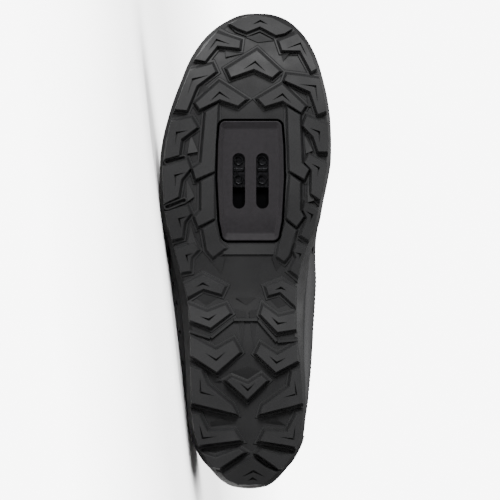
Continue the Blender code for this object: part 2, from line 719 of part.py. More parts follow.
def bridge(first, first_run, last, last_run, parts):
    """Arched points between two edges, without the ends."""
    pull = (last - first).length * 0.34
    low = first + first_run.normalized() * pull
    high = last + last_run.normalized() * pull
    found = []
    for k in range(1, parts):
        b = k / parts
        a = 1 - b
        found.append(first * a**3 + low * 3 * a * a * b + high * 3 * a * b * b + last * b**3)
    return found


def across_throat(station, medial_end, lateral_end, off, rows=6, parts=5, top=1.0):
    """Points from the medial wall over the throat to the lateral wall."""
    found = []
    walls = []
    for side, end in ((-1, medial_end), (1, lateral_end)):
        walls.append([on_upper(station, side, end + (top - end) * k / rows, off) for k in range(rows + 1)])
    medial, lateral = walls
    found.extend(medial)
    found.extend(bridge(medial[-1], medial[-1] - medial[-2], lateral[-1], lateral[-1] - lateral[-2], parts))
    found.extend(lateral[::-1])
    return found


def make_strap(row):
    """Strap laid over the throat, from the medial wall to its free lateral end."""
    name, start, end, medial_end, lateral_end = row
    front, back = [], []
    for k in range(4):
        s = start + (end - start) * k / 3
        front.append([tuple(p) for p in across_throat(s, medial_end, lateral_end, GAP)])
        back.append([tuple(p) for p in across_throat(s, medial_end, lateral_end, GAP + STRAP_THICKNESS)])
    return mesh_object(name, *sheet(front, back), "webbing")


def make_tongue():
    """Padded tongue under the throat, free above the instep."""
    front, back = [], []
    near = -(WALL + 2 * GAP)
    root, leave, reach_root, sag, reach_rise = TONGUE
    for k in range(11):
        s = root + (leave - root) * k / 10
        reach = reach_root + sag * math.sin(math.pi * k / 10) + reach_rise * k / 10
        upper_face = across_throat(s, reach, reach, near, rows=2, top=0.985)
        lower_face = across_throat(s, reach, reach, near - TONGUE_THICKNESS, rows=2, top=0.985)
        front.append([tuple(p) for p in upper_face])
        back.append([tuple(p) for p in lower_face])
    last, lower = front[-1], back[-1]
    count = len(last)
    for k in range(1, 4):
        ahead, behind = [], []
        shift = k / 3
        for j in range(count):
            mid = 1 - abs(2 * j / (count - 1) - 1) ** 2.5
            axis = foot_axis(last[j][1])
            x = axis + (last[j][0] - axis) * (1 - 0.16 * shift)
            y = last[j][1] - (TONGUE_LEAN + TONGUE_CROWN_LEAN * mid) * shift
            z = last[j][2] + (TONGUE_RISE + TONGUE_CROWN * mid) * shift
            low = Vector(lower[j]) - Vector(last[j])
            ahead.append((x, y, z))
            behind.append((x + low.x * 0.9, y + low.y, z + low.z * (1 - 0.35 * shift)))
        front.append(ahead)
        back.append(behind)
    return mesh_object("tongue", *sheet(front, back), "mesh")


def make_insole():
    """Foam sheet on the sole's top, inside the upper."""
    count = 28
    rings = []
    for i in range(count + 1):
        s = 0.012 + 0.976 * i / count
        edge = WALL + 1.7 * GAP + (INSOLE_EASE if s < 0.1 or s > 0.9 else 0.0)
        left, right = (wall_point(s, side, 0.0) - outline_normal(s, side) * edge for side in (-1, 1))
        ring = []
        for k in range(6):
            p = left + (right - left) * k / 5
            ring.append((p.x, p.y, top_z(p.y) + GAP))
        for k in range(5, -1, -1):
            p = left + (right - left) * k / 5
            rim = INSOLE_RIM if k in (0, 5) else 0.0
            ring.append((p.x, p.y, top_z(p.y) + GAP + INSOLE_THICKNESS + rim))
        rings.append(ring)
    return mesh_object("insole", *tube(rings), "foam")


def balance_point(pieces):
    """Centre of mass, with each piece weighed by its material."""
    weight, moment = 0.0, Vector((0, 0, 0))
    for piece in pieces:
        piece.data.calc_loop_triangles()
        points = [v.co for v in piece.data.vertices]
        for triangle in piece.data.loop_triangles:
            a, b, c = (points[i] for i in triangle.vertices)
            share = a.dot(b.cross(c)) * piece["weight"]
            weight += share
            moment += (a + b + c) / 4 * share
    return moment / weight


def lying_pose(pieces):
    """Turn and place that lay the shoe on its lateral side, on the hull face under its balance."""
    centre = balance_point(pieces)
    corners = [v.co.copy() for piece in pieces for v in piece.data.vertices]
    work = bmesh.new()
    for point in corners:
        work.verts.new(point)
    bmesh.ops.convex_hull(work, input=work.verts)
    steadiest, down = -1.0, None
    for face in work.faces:
        face.normal_update()
        if face.normal.x < 0.8:
            continue
        ends = [v.co for v in face.verts]
        foot = centre - face.normal * (centre - ends[0]).dot(face.normal)
        sides = zip(ends, ends[1:] + ends[:1])
        inside = min(face.normal.dot((q - p).cross(foot - p)) / (q - p).length for p, q in sides)
        if inside > steadiest:
            steadiest, down = inside, face.normal.copy()
    work.free()
    toe = Vector((0, 1, 0))
    ahead = (toe - down * toe.dot(down)).normalized()
    z_axis = -down
    x_axis = -ahead
    y_axis = z_axis.cross(x_axis)
    turn = Matrix((x_axis, y_axis, z_axis))
    placed = [turn @ p for p in corners]
    low = [min(p[k] for p in placed) for k in range(3)]
    high = [max(p[k] for p in placed) for k in range(3)]
    shift = Vector((-(low[0] + high[0]) / 2, -(low[1] + high[1]) / 2, -low[2]))
    return turn, shift


def main():
    for obj in list(bpy.data.objects):
        bpy.data.objects.remove(obj)
    pieces = [make_outsole(), make_cleat_plate(), make_cleat_nut(), make_insole(), make_upper()]
    pieces.append(make_patch("toe_cap", TOE_CAP))
    pieces.append(make_patch("heel_counter", HEEL_COUNTER))
    pieces.append(make_tongue())
    pieces.extend(make_strap(row) for row in STRAPS)
    turn, shift = lying_pose(pieces)
    lying = bpy.data.objects.new("lying", None)
    bpy.context.scene.collection.objects.link(lying)
    lying.rotation_euler = turn.to_euler()
    lying.location = shift
    for piece in pieces:
        piece.parent = lying
        for polygon in piece.data.polygons:
            polygon.use_smooth = False


main()
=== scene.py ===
"""Right off-road cycling shoe, lying on its lateral side with the sole to the camera.

Shoe sizes are in millimetres: x to the lateral side, y from heel to toe, z up from the tread. Table values
are shares of the named sizes, unless a table says otherwise."""

import bisect
import json
import math

import bmesh
import bpy
from mathutils import Matrix, Vector


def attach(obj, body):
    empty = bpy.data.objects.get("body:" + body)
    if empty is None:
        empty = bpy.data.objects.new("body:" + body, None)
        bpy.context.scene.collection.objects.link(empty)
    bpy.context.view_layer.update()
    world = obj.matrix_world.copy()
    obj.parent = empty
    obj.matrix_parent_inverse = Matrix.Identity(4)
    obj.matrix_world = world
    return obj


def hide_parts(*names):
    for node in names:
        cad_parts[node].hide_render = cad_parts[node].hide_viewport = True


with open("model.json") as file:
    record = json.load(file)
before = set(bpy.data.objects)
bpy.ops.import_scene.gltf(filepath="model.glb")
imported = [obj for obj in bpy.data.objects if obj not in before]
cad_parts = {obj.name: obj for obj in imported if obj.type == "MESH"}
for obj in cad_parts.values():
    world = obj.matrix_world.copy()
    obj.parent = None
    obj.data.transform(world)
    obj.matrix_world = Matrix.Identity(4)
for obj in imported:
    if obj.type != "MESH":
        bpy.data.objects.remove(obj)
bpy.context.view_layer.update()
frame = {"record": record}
MM = 0.001

# Large sizes of the shoe, the gap between its pieces, and how far joined or cut pieces reach into each other
LENGTH = 285.0
BALL_WIDTH = 104.0
INSTEP_HEIGHT = 97.0
HEEL_STACK = 28.0
TOE_SPRING = 18.0
GAP = 0.35
OVERLAP = 1.0

# Lugs: their bars, the step round their foot, the pitch at which long sides are split, and the V cut
LUG_HEIGHT = 5.0
LUG_ARM = 20.0
LUG_BAR = 6.0
LUG_DRAFT = 1.5
LUG_EDGE = 0.3
LUG_PITCH = 9.0
PLINTH = 1.3
PLINTH_RISE = 0.6
FOOT_EDGE = 0.4
VEE_REACH = 1.35
VEE_WIDTH = 0.75
VEE_DEPTH = 2.2

# Side of the sole: how far its swell stands past the tread line, and how far the tread stays in at both ends
SIDE_SWELL = 1.05
TREAD_SETBACK = 1.7

# Cleat tray: its depth, the joint round it (dark from its own shade and from black painted on its walls as
# shade), its rim and its sheet
TRAY_DEPTH = 1.5
TRAY_JOINT = 0.95
JOINT_FLARE = 0.35
JOINT_DEPTH = 0.9
TRAY_RIM = 4.0
TRAY_END = 1.8
TRAY_SHEET = 1.6

# Slots for the cleat, and the nut that shows in them
CLEAT_SPACING = 14.1
SLOT_LENGTH = 33.3
SLOT_WIDTH = 7.5
PLATE_FLOOR = 2.4
BOSS_PITCH = 11.4
BAR_HALF_WIDTH = 12.0
BAR_HALF_LENGTH = 10.5
BAR_CORNER = 2.5
BAR_THICKNESS = 2.0
RIB_HALF_LENGTH = 3.2
RIB_HALF_WIDTH = 1.3

# Sheets of the upper and what is sewn to it
WALL = 3.0
SHEET = 1.2
FACING = 0.7
TAB = 0.7
STRAP_THICKNESS = 1.8
LINING_SHEET = 0.6
LINING_SWELL = 1.5
STITCH_PITCH = 2.6
STITCH_LENGTH = 1.7
STITCH_THICKNESS = 0.32

# Where they lie, in stations of the foot and shares up the wall. UNDER_EDGE is just below the wall's edge,
# and THROAT_SIDE is the share of a line across the throat that lies on each wall.
UNDER_EDGE = 0.985
THROAT_SIDE = 0.36
FACING_END = 0.555
FACING_LOW = 0.80
LINING_END = 0.47
LINING_DEPTH = 0.60

# Middle line of the upper's edge, and the stations past which its foot closes round heel and toe
HEEL_AXIS = -0.012
TOE_BEND = 0.045
HEEL_ROUND = 0.04
TOE_ROUND = 0.985

# Tongue and insole: the tongue is held along its first stations and free above them
TONGUE_THICKNESS = 4.0
TONGUE_FIRST = 0.90
TONGUE_LAST = 0.455
TONGUE_HELD = 0.72
TONGUE_ROWS = 11
QUILT_DEPTH = 0.7
INSOLE_THICKNESS = 3.5
INSOLE_END = 0.012

# How finely the large forms are laid
SOLE_STATIONS = 150
FLOOR_PARTS = 14
ROOF_PARTS = 6
SHELL_COLUMNS = 220
SHELL_ROWS = 36
ROLL_ROWS = 6
SEAM_STEPS = 60
WINDOW_PITCH = 4.0

# The mounts' places in the shoe's own sizes: across, along, up
CLEAT_FACE = (-1.87, 183.8, 6.15)
HEEL_TREAD = (28.8, 56.7, 0.0)
BALL_TREAD = (45.1, 188.4, 0.0)

# Outline of the sole: along, tread lateral, tread medial, feather lateral, feather medial
OUTLINE = (
    (0.000, 0.024, 0.044, 0.026, 0.052),
    (0.005, 0.082, 0.100, 0.094, 0.112),
    (0.016, 0.135, 0.139, 0.149, 0.159),
    (0.037, 0.197, 0.207, 0.207, 0.216),
    (0.060, 0.250, 0.255, 0.264, 0.269),
    (0.100, 0.303, 0.303, 0.313, 0.313),
    (0.150, 0.325, 0.323, 0.337, 0.325),
    (0.220, 0.329, 0.317, 0.351, 0.327),
    (0.310, 0.332, 0.286, 0.365, 0.322),
    (0.390, 0.345, 0.279, 0.385, 0.327),
    (0.455, 0.389, 0.298, 0.418, 0.346),
    (0.520, 0.435, 0.356, 0.457, 0.380),
    (0.560, 0.468, 0.394, 0.486, 0.413),
    (0.600, 0.484, 0.416, 0.503, 0.432),
    (0.645, 0.490, 0.442, 0.500, 0.458),
    (0.690, 0.488, 0.460, 0.495, 0.477),
    (0.730, 0.471, 0.466, 0.484, 0.475),
    (0.770, 0.445, 0.462, 0.458, 0.471),
    (0.815, 0.404, 0.445, 0.423, 0.457),
    (0.855, 0.363, 0.421, 0.381, 0.433),
    (0.900, 0.313, 0.385, 0.330, 0.398),
    (0.940, 0.245, 0.333, 0.260, 0.346),
    (0.968, 0.168, 0.269, 0.186, 0.288),
    (0.985, 0.096, 0.207, 0.113, 0.231),
    (0.995, 0.038, 0.135, 0.053, 0.168),
    (1.000, -0.038, 0.066, -0.034, 0.080),
)

# Heights of the sole: along, tread in toe springs, top in heel stacks, lug in lug heights
PROFILE = (
    (0.00, 0.28, 1.11, 1.20),
    (0.03, 0.08, 1.05, 1.20),
    (0.07, 0.00, 1.02, 1.20),
    (0.15, 0.00, 0.98, 1.20),
    (0.25, 0.00, 0.93, 1.10),
    (0.33, 0.14, 0.86, 0.80),
    (0.42, 0.33, 0.73, 0.60),
    (0.50, 0.25, 0.63, 0.64),
    (0.56, 0.08, 0.54, 0.80),
    (0.60, 0.00, 0.49, 0.96),
    (0.70, 0.00, 0.465, 1.00),
    (0.78, 0.00, 0.48, 1.00),
    (0.85, 0.11, 0.57, 1.00),
    (0.92, 0.39, 0.75, 0.96),
    (0.97, 0.72, 0.95, 0.84),
    (1.00, 1.00, 1.11, 0.70),
)

# Chevron lugs. Headings are degrees from the toe towards the lateral side. The last two columns place the V
# cut: its arm as a share of LUG_ARM (0 for none) and how far it lies from the apex towards the notch.
# name, across, along, heading and depth of the notch, then heading, reach, width and cut of each arm, the V
LUGS = (
    ("toe_lateral", 0.182, 0.956, -173, 1.31, 142, 1.01, 0.91, -0.46, -108, 0.77, 0.74, 0.14, 0.32, 0.55),
    ("toe_medial", -0.303, 0.954, 180, 1.70, 110, 0.67, 0.95, 0.02, -152, 1.19, 0.80, -0.09, 0.34, 0.58),
    ("toe_centre", -0.055, 0.919, 171, 1.92, 122, 1.06, 0.93, 0.11, -133, 0.92, 0.99, -0.10, 0.32, 0.62),
    ("ball_lateral_1", 0.343, 0.876, -149, 1.75, 160, 1.23, 1.26, -0.35, -75, 0.75, 0.82, 0.14, 0.38, 0.58),
    ("ball_medial_1", -0.430, 0.859, 137, 1.77, 83, 1.06, 0.63, 0.17, -172, 0.98, 0.93, 0.17, 0.36, 0.58),
    ("box_lateral", 0.162, 0.852, -178, 1.75, 132, 0.95, 0.71, 0.10, -123, 0.95, 0.98, -0.31, 0.30, 0.60),
    ("box_medial", -0.199, 0.847, -178, 1.65, 121, 0.84, 1.00, -0.21, -134, 0.95, 0.71, 0.13, 0.27, 0.60),
    ("ball_lateral_2", 0.447, 0.768, -146, 2.05, 172, 1.12, 1.38, -0.61, -79, 0.66, 1.03, 0.37, 0.26, 0.62),
    ("ball_medial_2", -0.462, 0.761, 127, 1.82, 67, 0.69, 1.01, -0.05, -178, 0.78, 1.05, -0.04, 0.24, 0.60),
    ("ball_lateral_3", 0.487, 0.674, -124, 2.23, 180, 1.10, 1.55, -0.70, -73, 0.75, 0.96, 0.07, 0.27, 0.68),
    ("ball_medial_3", -0.459, 0.678, 108, 1.63, 60, 0.63, 0.92, -0.01, 169, 1.05, 1.04, -0.41, 0.20, 0.55),
    ("waist_lateral_1", 0.470, 0.579, -116, 2.06, -168, 0.84, 1.08, -0.02, -73, 0.66, 0.87, 0.10, 0.22, 0.72),
    ("waist_medial_1", -0.407, 0.582, 124, 1.33, 58, 0.46, 0.74, -0.22, 164, 0.91, 1.00, -0.23, 0.17, 0.55),
    ("waist_lateral_2", 0.418, 0.500, -115, 1.77, -166, 0.69, 0.96, 0.08, -71, 0.60, 0.74, 0.17, 0.17, 0.72),
    ("waist_medial_2", -0.338, 0.504, 136, 1.38, 73, 0.31, 0.65, 0.07, 164, 0.86, 0.92, -0.30, 0.13, 0.60),
    ("arch_lateral", 0.257, 0.447, -178, 1.35, 117, 0.62, 1.13, 0.53, -117, 0.74, 0.83, 0.02, 0.17, 0.60),
    ("arch_medial", -0.199, 0.435, 170, 1.12, 111, 0.51, 0.84, 0.05, -119, 0.50, 1.54, 0.73, 0.14, 0.60),
    ("heel_lateral_1", 0.211, 0.337, 13, 1.59, 70, 0.65, 1.37, 0.77, -53, 0.72, 0.91, 0.13, 0.22, 0.52),
    ("heel_medial_1", -0.173, 0.328, -2, 1.50, 44, 0.73, 0.77, 0.44, -81, 0.56, 1.60, 0.11, 0.22, 0.56),
    ("heel_lateral_2", 0.176, 0.244, 3, 2.20, 57, 0.94, 1.56, 1.00, -49, 0.91, 1.33, 0.30, 0.29, 0.55),
    ("heel_medial_2", -0.164, 0.244, -3, 1.70, 47, 0.81, 0.96, 0.29, -62, 0.73, 1.52, 0.76, 0.24, 0.55),
    ("heel_centre", 0.000, 0.187, -2, 1.50, 48, 0.83, 0.56, -0.17, -46, 0.80, 0.74, -0.05, 0.24, 0.62),
    ("heel_lateral_3", 0.320, 0.180, -40, 2.34, 2, 1.05, 1.04, -0.34, -104, 1.38, 0.71, -0.65, 0.34, 0.58),
    ("heel_medial_3", -0.329, 0.180, 45, 2.19, 104, 1.38, 0.70, -0.48, 7, 1.06, 0.89, -0.29, 0.31, 0.55),
    ("heel_lateral_4", 0.286, 0.091, -35, 1.65, 13, 0.97, 0.84, -0.39, -83, 1.27, 1.01, -0.48, 0.33, 0.52),
    ("heel_medial_4", -0.303, 0.087, 40, 2.02, 81, 1.22, 1.02, -0.34, -8, 1.03, 0.83, -0.21, 0.31, 0.52),
    ("heel_lateral_5", 0.159, 0.043, 21, 1.12, 86, 0.42, 1.34, 0.95, -57, 0.86, 0.59, -0.27, 0.0, 0.0),
    ("heel_medial_5", -0.170, 0.044, -23, 1.25, 55, 0.73, 0.60, -0.25, -88, 0.36, 1.16, 1.05, 0.0, 0.0),
    ("rail_lateral_1", 0.190, 0.665, 58, 1.53, -3, 1.98, 1.15, -0.82, 113, 0.60, 1.04, -0.12, 0.0, 0.0),
    ("rail_lateral_2", 0.193, 0.566, 59, 1.46, 0, 1.29, 1.25, -0.65, 117, 0.52, 1.00, -0.12, 0.0, 0.0),
    ("rail_lateral_3", 0.164, 0.519, 127, 1.50, 12, 0.57, 1.27, -0.44, -139, 0.28, 1.50, -0.10, 0.0, 0.0),
    ("rail_medial_1", -0.242, 0.666, -58, 1.42, 2, 1.88, 1.18, -0.79, -120, 0.50, 1.05, -0.09, 0.0, 0.0),
    ("rail_medial_2", -0.225, 0.567, -58, 1.53, -5, 1.28, 1.01, -0.67, -130, 0.39, 1.18, -0.08, 0.0, 0.0),
    ("rail_medial_3", -0.182, 0.508, -132, 1.35, -15, 0.73, 1.19, -0.55, 169, 0.31, 0.78, 0.35, 0.0, 0.0),
)

# End lugs: outer across, outer along, inner across, inner along
TOE_CROWN = (
    (0.101, 0.975, 0.060, 0.966),
    (0.043, 0.987, 0.003, 0.958),
    (-0.061, 0.993, -0.072, 0.969),
    (-0.164, 0.988, -0.164, 0.951),
    (-0.274, 0.965, -0.215, 0.955),
)
HEEL_END = (
    (0.164, 0.020, 0.139, 0.027),
    (0.089, 0.007, 0.055, 0.048),
    (-0.014, 0.002, -0.026, 0.063),
    (-0.118, 0.009, -0.100, 0.043),
    (-0.179, 0.024, -0.165, 0.033),
)

# V cuts of the end lugs: across, along, spread across, drop along
END_VEES = (
    (-0.074, 0.981, 0.046, -0.0075),
    (-0.034, 0.037, 0.068, -0.013),
    (-0.030, 0.022, 0.030, -0.006),
)

# Cleat window: along, half width about WINDOW_AXIS
WINDOW = (
    (0.516, 0.166),
    (0.560, 0.189),
    (0.650, 0.202),
    (0.720, 0.198),
    (0.774, 0.186),
)
WINDOW_AXIS = -0.018

# Corner radius and height of the window's cut in mm, and how far round it a face still counts as its wall,
# which is painted black as shade
WINDOW_CORNER = 4.5
WINDOW_CUT = 40.0
WINDOW_REACH = 0.016

# Middle of the slots and of the bosses along the shoe
SLOT_CENTRE = 0.645
BOSS_CENTRE = 0.668

# Threaded boss of the cleat nut: radius and height over the bar, in mm
BOSS = (
    (2.7, 0.2),
    (2.7, -1.4),
    (2.5, -1.6),
    (2.25, -1.6),
    (2.1, -1.3),
    (1.9, -1.2),
    (2.1, -0.9),
    (1.9, -0.6),
    (2.1, -0.3),
    (1.9, 0.0),
    (2.0, 0.6),
)

# Wall of the upper: station, then along, half width and height of its edge, then how it leaves its foot (out,
# up), how it meets its edge (out, drop), and how far its foot stands in from the feather line
UPPER = (
    (0.00, 0.030, 0.000, 1.00, 0.050, 0.26, 0.040, 0.26, 0.018),
    (0.05, 0.038, 0.110, 0.985, 0.045, 0.25, 0.030, 0.24, 0.018),
    (0.10, 0.080, 0.205, 0.94, 0.035, 0.23, 0.020, 0.22, 0.017),
    (0.16, 0.155, 0.262, 0.87, 0.030, 0.19, 0.015, 0.20, 0.016),
    (0.26, 0.265, 0.286, 0.80, 0.075, 0.12, 0.015, 0.19, 0.008),
    (0.36, 0.365, 0.275, 0.87, 0.115, 0.11, 0.050, 0.19, 0.002),
    (0.44, 0.449, 0.216, 1.00, 0.140, 0.14, 0.130, 0.16, 0.000),
    (0.50, 0.512, 0.168, 0.95, 0.080, 0.20, 0.190, 0.09, 0.004),
    (0.57, 0.580, 0.142, 0.86, 0.012, 0.27, 0.230, 0.06, 0.014),
    (0.66, 0.667, 0.120, 0.74, 0.020, 0.27, 0.250, 0.04, 0.016),
    (0.74, 0.723, 0.096, 0.68, 0.025, 0.27, 0.260, 0.03, 0.018),
    (0.82, 0.747, 0.067, 0.655, 0.030, 0.26, 0.300, 0.03, 0.020),
    (0.92, 0.758, 0.034, 0.645, 0.030, 0.24, 0.340, 0.03, 0.020),
    (1.00, 0.761, 0.000, 0.64, 0.020, 0.23, 0.350, 0.03, 0.020),
)

# Side wall of the sole from the tread up: share of the way out to the feather line, stand-out in millimetres,
# share of the height
SIDE_WALL = (
    (0.00, -2.20, 0.000),
    (0.00, -1.30, 0.015),
    (0.00, -0.60, 0.060),
    (0.00, -0.10, 0.120),
    (0.10, 0.15, 0.200),
    (0.30, 0.60, 0.330),
    (0.55, 1.00, 0.480),
    (0.62, 1.05, 0.525),
    (0.62, 0.70, 0.552),
    (0.62, -0.55, 0.572),
    (0.63, -0.80, 0.600),
    (0.78, -0.55, 0.740),
    (0.90, -0.15, 0.840),
    (0.97, 0.00, 0.900),
    (1.00, 0.05, 0.950),
    (1.00, -0.12, 0.985),
    (1.00, -0.50, 1.000),
)

# Low relief between the lugs: name, then corners as across, along and rise above the floor in millimetres
RELIEF = (
    ("band", (0.146, 0.512, 0.1), (-0.158, 0.512, 0.1), (-0.150, 0.491, 1.3), (0.138, 0.491, 1.3)),
    ("wedge_lateral", (0.245, 0.492, 0.1), (0.130, 0.484, 1.6), (0.150, 0.449, 0.1)),
    ("wedge_medial", (-0.140, 0.486, 1.6), (-0.236, 0.490, 0.1), (-0.165, 0.455, 0.1)),
    ("plate_lateral", (0.330, 0.408, 0.1), (0.250, 0.417, 1.5), (0.140, 0.408, 0.2), (0.235, 0.384, 0.1)),
    ("plate_medial", (-0.110, 0.405, 0.2), (-0.175, 0.421, 1.5), (-0.270, 0.391, 0.1), (-0.175, 0.378, 0.1)),
    ("arch_wedge", (0.066, 0.400, 1.0), (-0.049, 0.400, 0.2), (0.005, 0.384, 0.1)),
    ("arrow_lateral", (0.075, 0.377, 0.2), (0.015, 0.372, 1.3), (0.030, 0.290, 0.1)),
    ("arrow_medial", (-0.009, 0.372, 1.3), (-0.075, 0.377, 0.2), (-0.035, 0.290, 0.1)),
    ("heel_lens", (0.105, 0.244, 0.1), (0.000, 0.253, 1.4), (-0.085, 0.244, 0.1), (0.005, 0.229, 0.2)),
    ("heel_strip_lateral", (0.205, 0.240, 0.1), (0.150, 0.226, 1.6), (0.190, 0.223, 0.1)),
    ("heel_wedge_lateral", (0.215, 0.215, 0.1), (0.160, 0.190, 1.8), (0.075, 0.160, 0.1)),
    ("heel_wedge_medial", (-0.225, 0.212, 0.1), (-0.090, 0.162, 0.1), (-0.165, 0.192, 1.8)),
    ("heel_low_lateral", (0.215, 0.140, 0.2), (0.150, 0.146, 1.6), (0.080, 0.136, 0.1), (0.210, 0.130, 0.1)),
    ("heel_low_medial", (-0.080, 0.138, 0.1), (-0.160, 0.146, 1.6), (-0.220, 0.132, 0.1)),
    ("toe_lateral", (0.130, 0.928, 0.1), (0.020, 0.913, 0.1), (0.125, 0.905, 1.4)),
    ("toe_medial", (-0.175, 0.938, 0.1), (-0.240, 0.913, 1.6), (-0.205, 0.896, 0.1)),
    ("toe_ridge", (0.010, 0.947, 0.1), (-0.060, 0.953, 1.2), (-0.150, 0.940, 0.1), (-0.060, 0.936, 0.1)),
    ("ball_facet_lateral_1", (0.325, 0.742, 0.0), (0.285, 0.706, 2.4), (0.345, 0.702, 2.4)),
    ("ball_facet_lateral_2", (0.350, 0.648, 0.0), (0.305, 0.612, 2.4), (0.350, 0.600, 2.4)),
    ("ball_facet_lateral_3", (0.325, 0.550, 0.0), (0.290, 0.508, 2.2), (0.345, 0.514, 2.2)),
    ("ball_facet_medial_1", (-0.325, 0.742, 0.0), (-0.375, 0.708, 2.4), (-0.335, 0.702, 2.4)),
    ("ball_facet_medial_2", (-0.345, 0.646, 0.0), (-0.385, 0.604, 2.2), (-0.345, 0.600, 2.2)),
    ("toe_side_lateral", (0.300, 0.862, 0.1), (0.215, 0.835, 1.6), (0.270, 0.815, 0.1)),
    ("toe_side_medial", (-0.330, 0.842, 0.1), (-0.350, 0.800, 1.6), (-0.385, 0.802, 0.1)),
)

# Long round-ended lips between the lateral lugs: both ends as across and along, in shares
LIPS = (
    (0.462, 0.684, 0.368, 0.693),
    (0.462, 0.590, 0.364, 0.604),
)
LIP_SLOT = 1.0
LIP_RIM = 0.9
LIP_RISE = 3.2

# Heel ledge, a low line that turns twice across the heel: across, along
LEDGE = ((0.335, 0.330), (0.211, 0.316), (0.081, 0.354), (-0.061, 0.354), (-0.170, 0.308), (-0.290, 0.312))
LEDGE_RISE = 2.0
LEDGE_HALF_WIDTH = 1.1
LEDGE_DRAFT = 0.35

# Vent holes of the upper past the sole's edge: side, along, up the wall, half length and half height in mm
VENTS = (
    (-1, 0.536, 0.105, 1.3, 1.7),
    (-1, 0.500, 0.060, 2.5, 2.0),
    (-1, 0.494, 0.150, 1.3, 1.7),
    (1, 0.430, 0.085, 1.7, 1.5),
    (1, 0.388, 0.085, 1.7, 1.5),
    (1, 0.325, 0.090, 1.7, 1.5),
    (1, 0.260, 0.090, 1.7, 1.5),
)

# Rows of pinholes over the forefoot: side, first along, last along, up the wall at both, count, and their
# radius in mm
PINHOLES = (
    (-1, 0.660, 0.800, 0.66, 0.60, 9),
    (-1, 0.670, 0.800, 0.58, 0.52, 9),
    (-1, 0.680, 0.790, 0.50, 0.45, 8),
    (1, 0.650, 0.790, 0.68, 0.62, 9),
    (1, 0.660, 0.790, 0.60, 0.54, 9),
    (1, 0.670, 0.780, 0.52, 0.47, 8),
)
PINHOLE = 0.75

# Creases of the upper: side, along and up at one end, along and up at the other, width and depth in mm
CREASES = (
    (-1, 0.715, 0.30, 0.770, 0.86, 3.0, 0.9),
    (-1, 0.690, 0.22, 0.735, 0.70, 2.6, 0.7),
    (-1, 0.745, 0.30, 0.800, 0.80, 3.2, 0.6),
    (1, 0.705, 0.28, 0.765, 0.86, 3.0, 0.9),
    (1, 0.680, 0.24, 0.725, 0.72, 2.6, 0.7),
    (1, 0.735, 0.34, 0.800, 0.80, 3.2, 0.6),
    (-1, 0.180, 0.62, 0.300, 0.48, 4.5, 0.8),
    (1, 0.170, 0.60, 0.290, 0.50, 4.5, 0.8),
    (-1, 0.330, 0.72, 0.420, 0.50, 4.0, 0.7),
    (1, 0.340, 0.70, 0.430, 0.52, 4.0, 0.7),
    (-1, 0.060, 0.55, 0.130, 0.42, 3.5, 0.5),
    (1, 0.050, 0.56, 0.120, 0.44, 3.5, 0.5),
)

# Sewn panels: name, side, first and last station, then low edge and high edge at both ends and the middle
PANELS = (
    ("quarter_panel_medial", -1, 0.175, 0.530, (0.36, 0.33, 0.36), (0.55, 0.64, 0.76)),
    ("quarter_panel_lateral", 1, 0.175, 0.530, (0.36, 0.34, 0.36), (0.55, 0.64, 0.76)),
    ("vamp_panel_medial", -1, 0.545, 0.775, (0.14, 0.17, 0.13), (0.50, 0.44, 0.24)),
    ("vamp_panel_lateral", 1, 0.545, 0.775, (0.14, 0.17, 0.13), (0.50, 0.44, 0.24)),
)
PANEL = 0.45

# Seams beside the upper's edge, on both sides: first and last station, up the wall, and how proud in mm
EDGE_SEAMS = (
    (0.02, 0.44, 0.93, 0.08),
    (0.46, 0.96, 0.955, 0.95),
    (0.46, 0.96, 0.84, 0.95),
)

# Patches over toe and heel: station at their sides and in their middle, then height of their edge at both
TOE_CAP = (0.76, 1.0, 0.16, 0.34)
HEEL_COUNTER = (0.20, 0.0, 0.24, 0.52)

# Straps: name, first station, last station, medial end, lateral end
STRAPS = (
    ("strap_front", 0.655, 0.725, 0.50, 0.52),
    ("strap_middle", 0.565, 0.630, 0.52, 0.50),
    ("strap_top", 0.470, 0.540, 0.55, 0.46),
)


class Table:
    """Rows of a table read between their stations, without overshoot."""

    def __init__(self, rows, key=None):
        self.xs = [key(row[0]) if key else row[0] for row in rows]
        self.columns = []
        for c in range(1, len(rows[0])):
            ys = [row[c] for row in rows]
            steps = [(b - a) / (q - p) for a, b, p, q in zip(ys, ys[1:], self.xs, self.xs[1:])]
            slopes = [steps[0]]
            for a, b in zip(steps, steps[1:]):
                slopes.append(0.0 if a * b <= 0 else 2 * a * b / (a + b))
            slopes.append(steps[-1])
            self.columns.append((ys, slopes))

    def at(self, value, x):
        x = min(max(x, self.xs[0]), self.xs[-1])
        k = min(max(bisect.bisect_right(self.xs, x) - 1, 0), len(self.xs) - 2)
        ys, slopes = self.columns[value - 1]
        h = self.xs[k + 1] - self.xs[k]
        t = (x - self.xs[k]) / h
        a, b, rise = slopes[k] * h, slopes[k + 1] * h, ys[k + 1] - ys[k]
        return ys[k] + t * (a + t * (3 * rise - 2 * a - b + t * (a + b - 2 * rise)))


def along_of(station):
    return (1 - math.cos(math.pi * station)) / 2


def station_of(along):
    return math.acos(1 - 2 * min(max(along, 0.0), 1.0)) / math.pi


outline = Table(OUTLINE, station_of)
profile = Table(PROFILE)
upper_rows = Table(UPPER)


def shoe_pose():
    """Matrix from the shoe's own millimetres to the place where it lies, from the record's mounts."""
    at = {m["name"]: m for m in frame["record"]["mounts"]}
    own = [Vector(p) * MM for p in (CLEAT_FACE, HEEL_TREAD, BALL_TREAD)]
    placed = [Vector(at[n]["pos_m"]) for n in ("cleat_face", "heel_tread", "ball_tread")]

    def triad(points):
        along = (points[2] - points[1]).normalized()
        up = along.cross(points[0] - points[1]).normalized()
        return Matrix((along, up, along.cross(up))).transposed()

    turn = triad(placed) @ triad(own).transposed()
    return Matrix.Translation(placed[0] - turn @ own[0]) @ turn.to_4x4() @ Matrix.Scale(MM, 4)


POSE = shoe_pose()


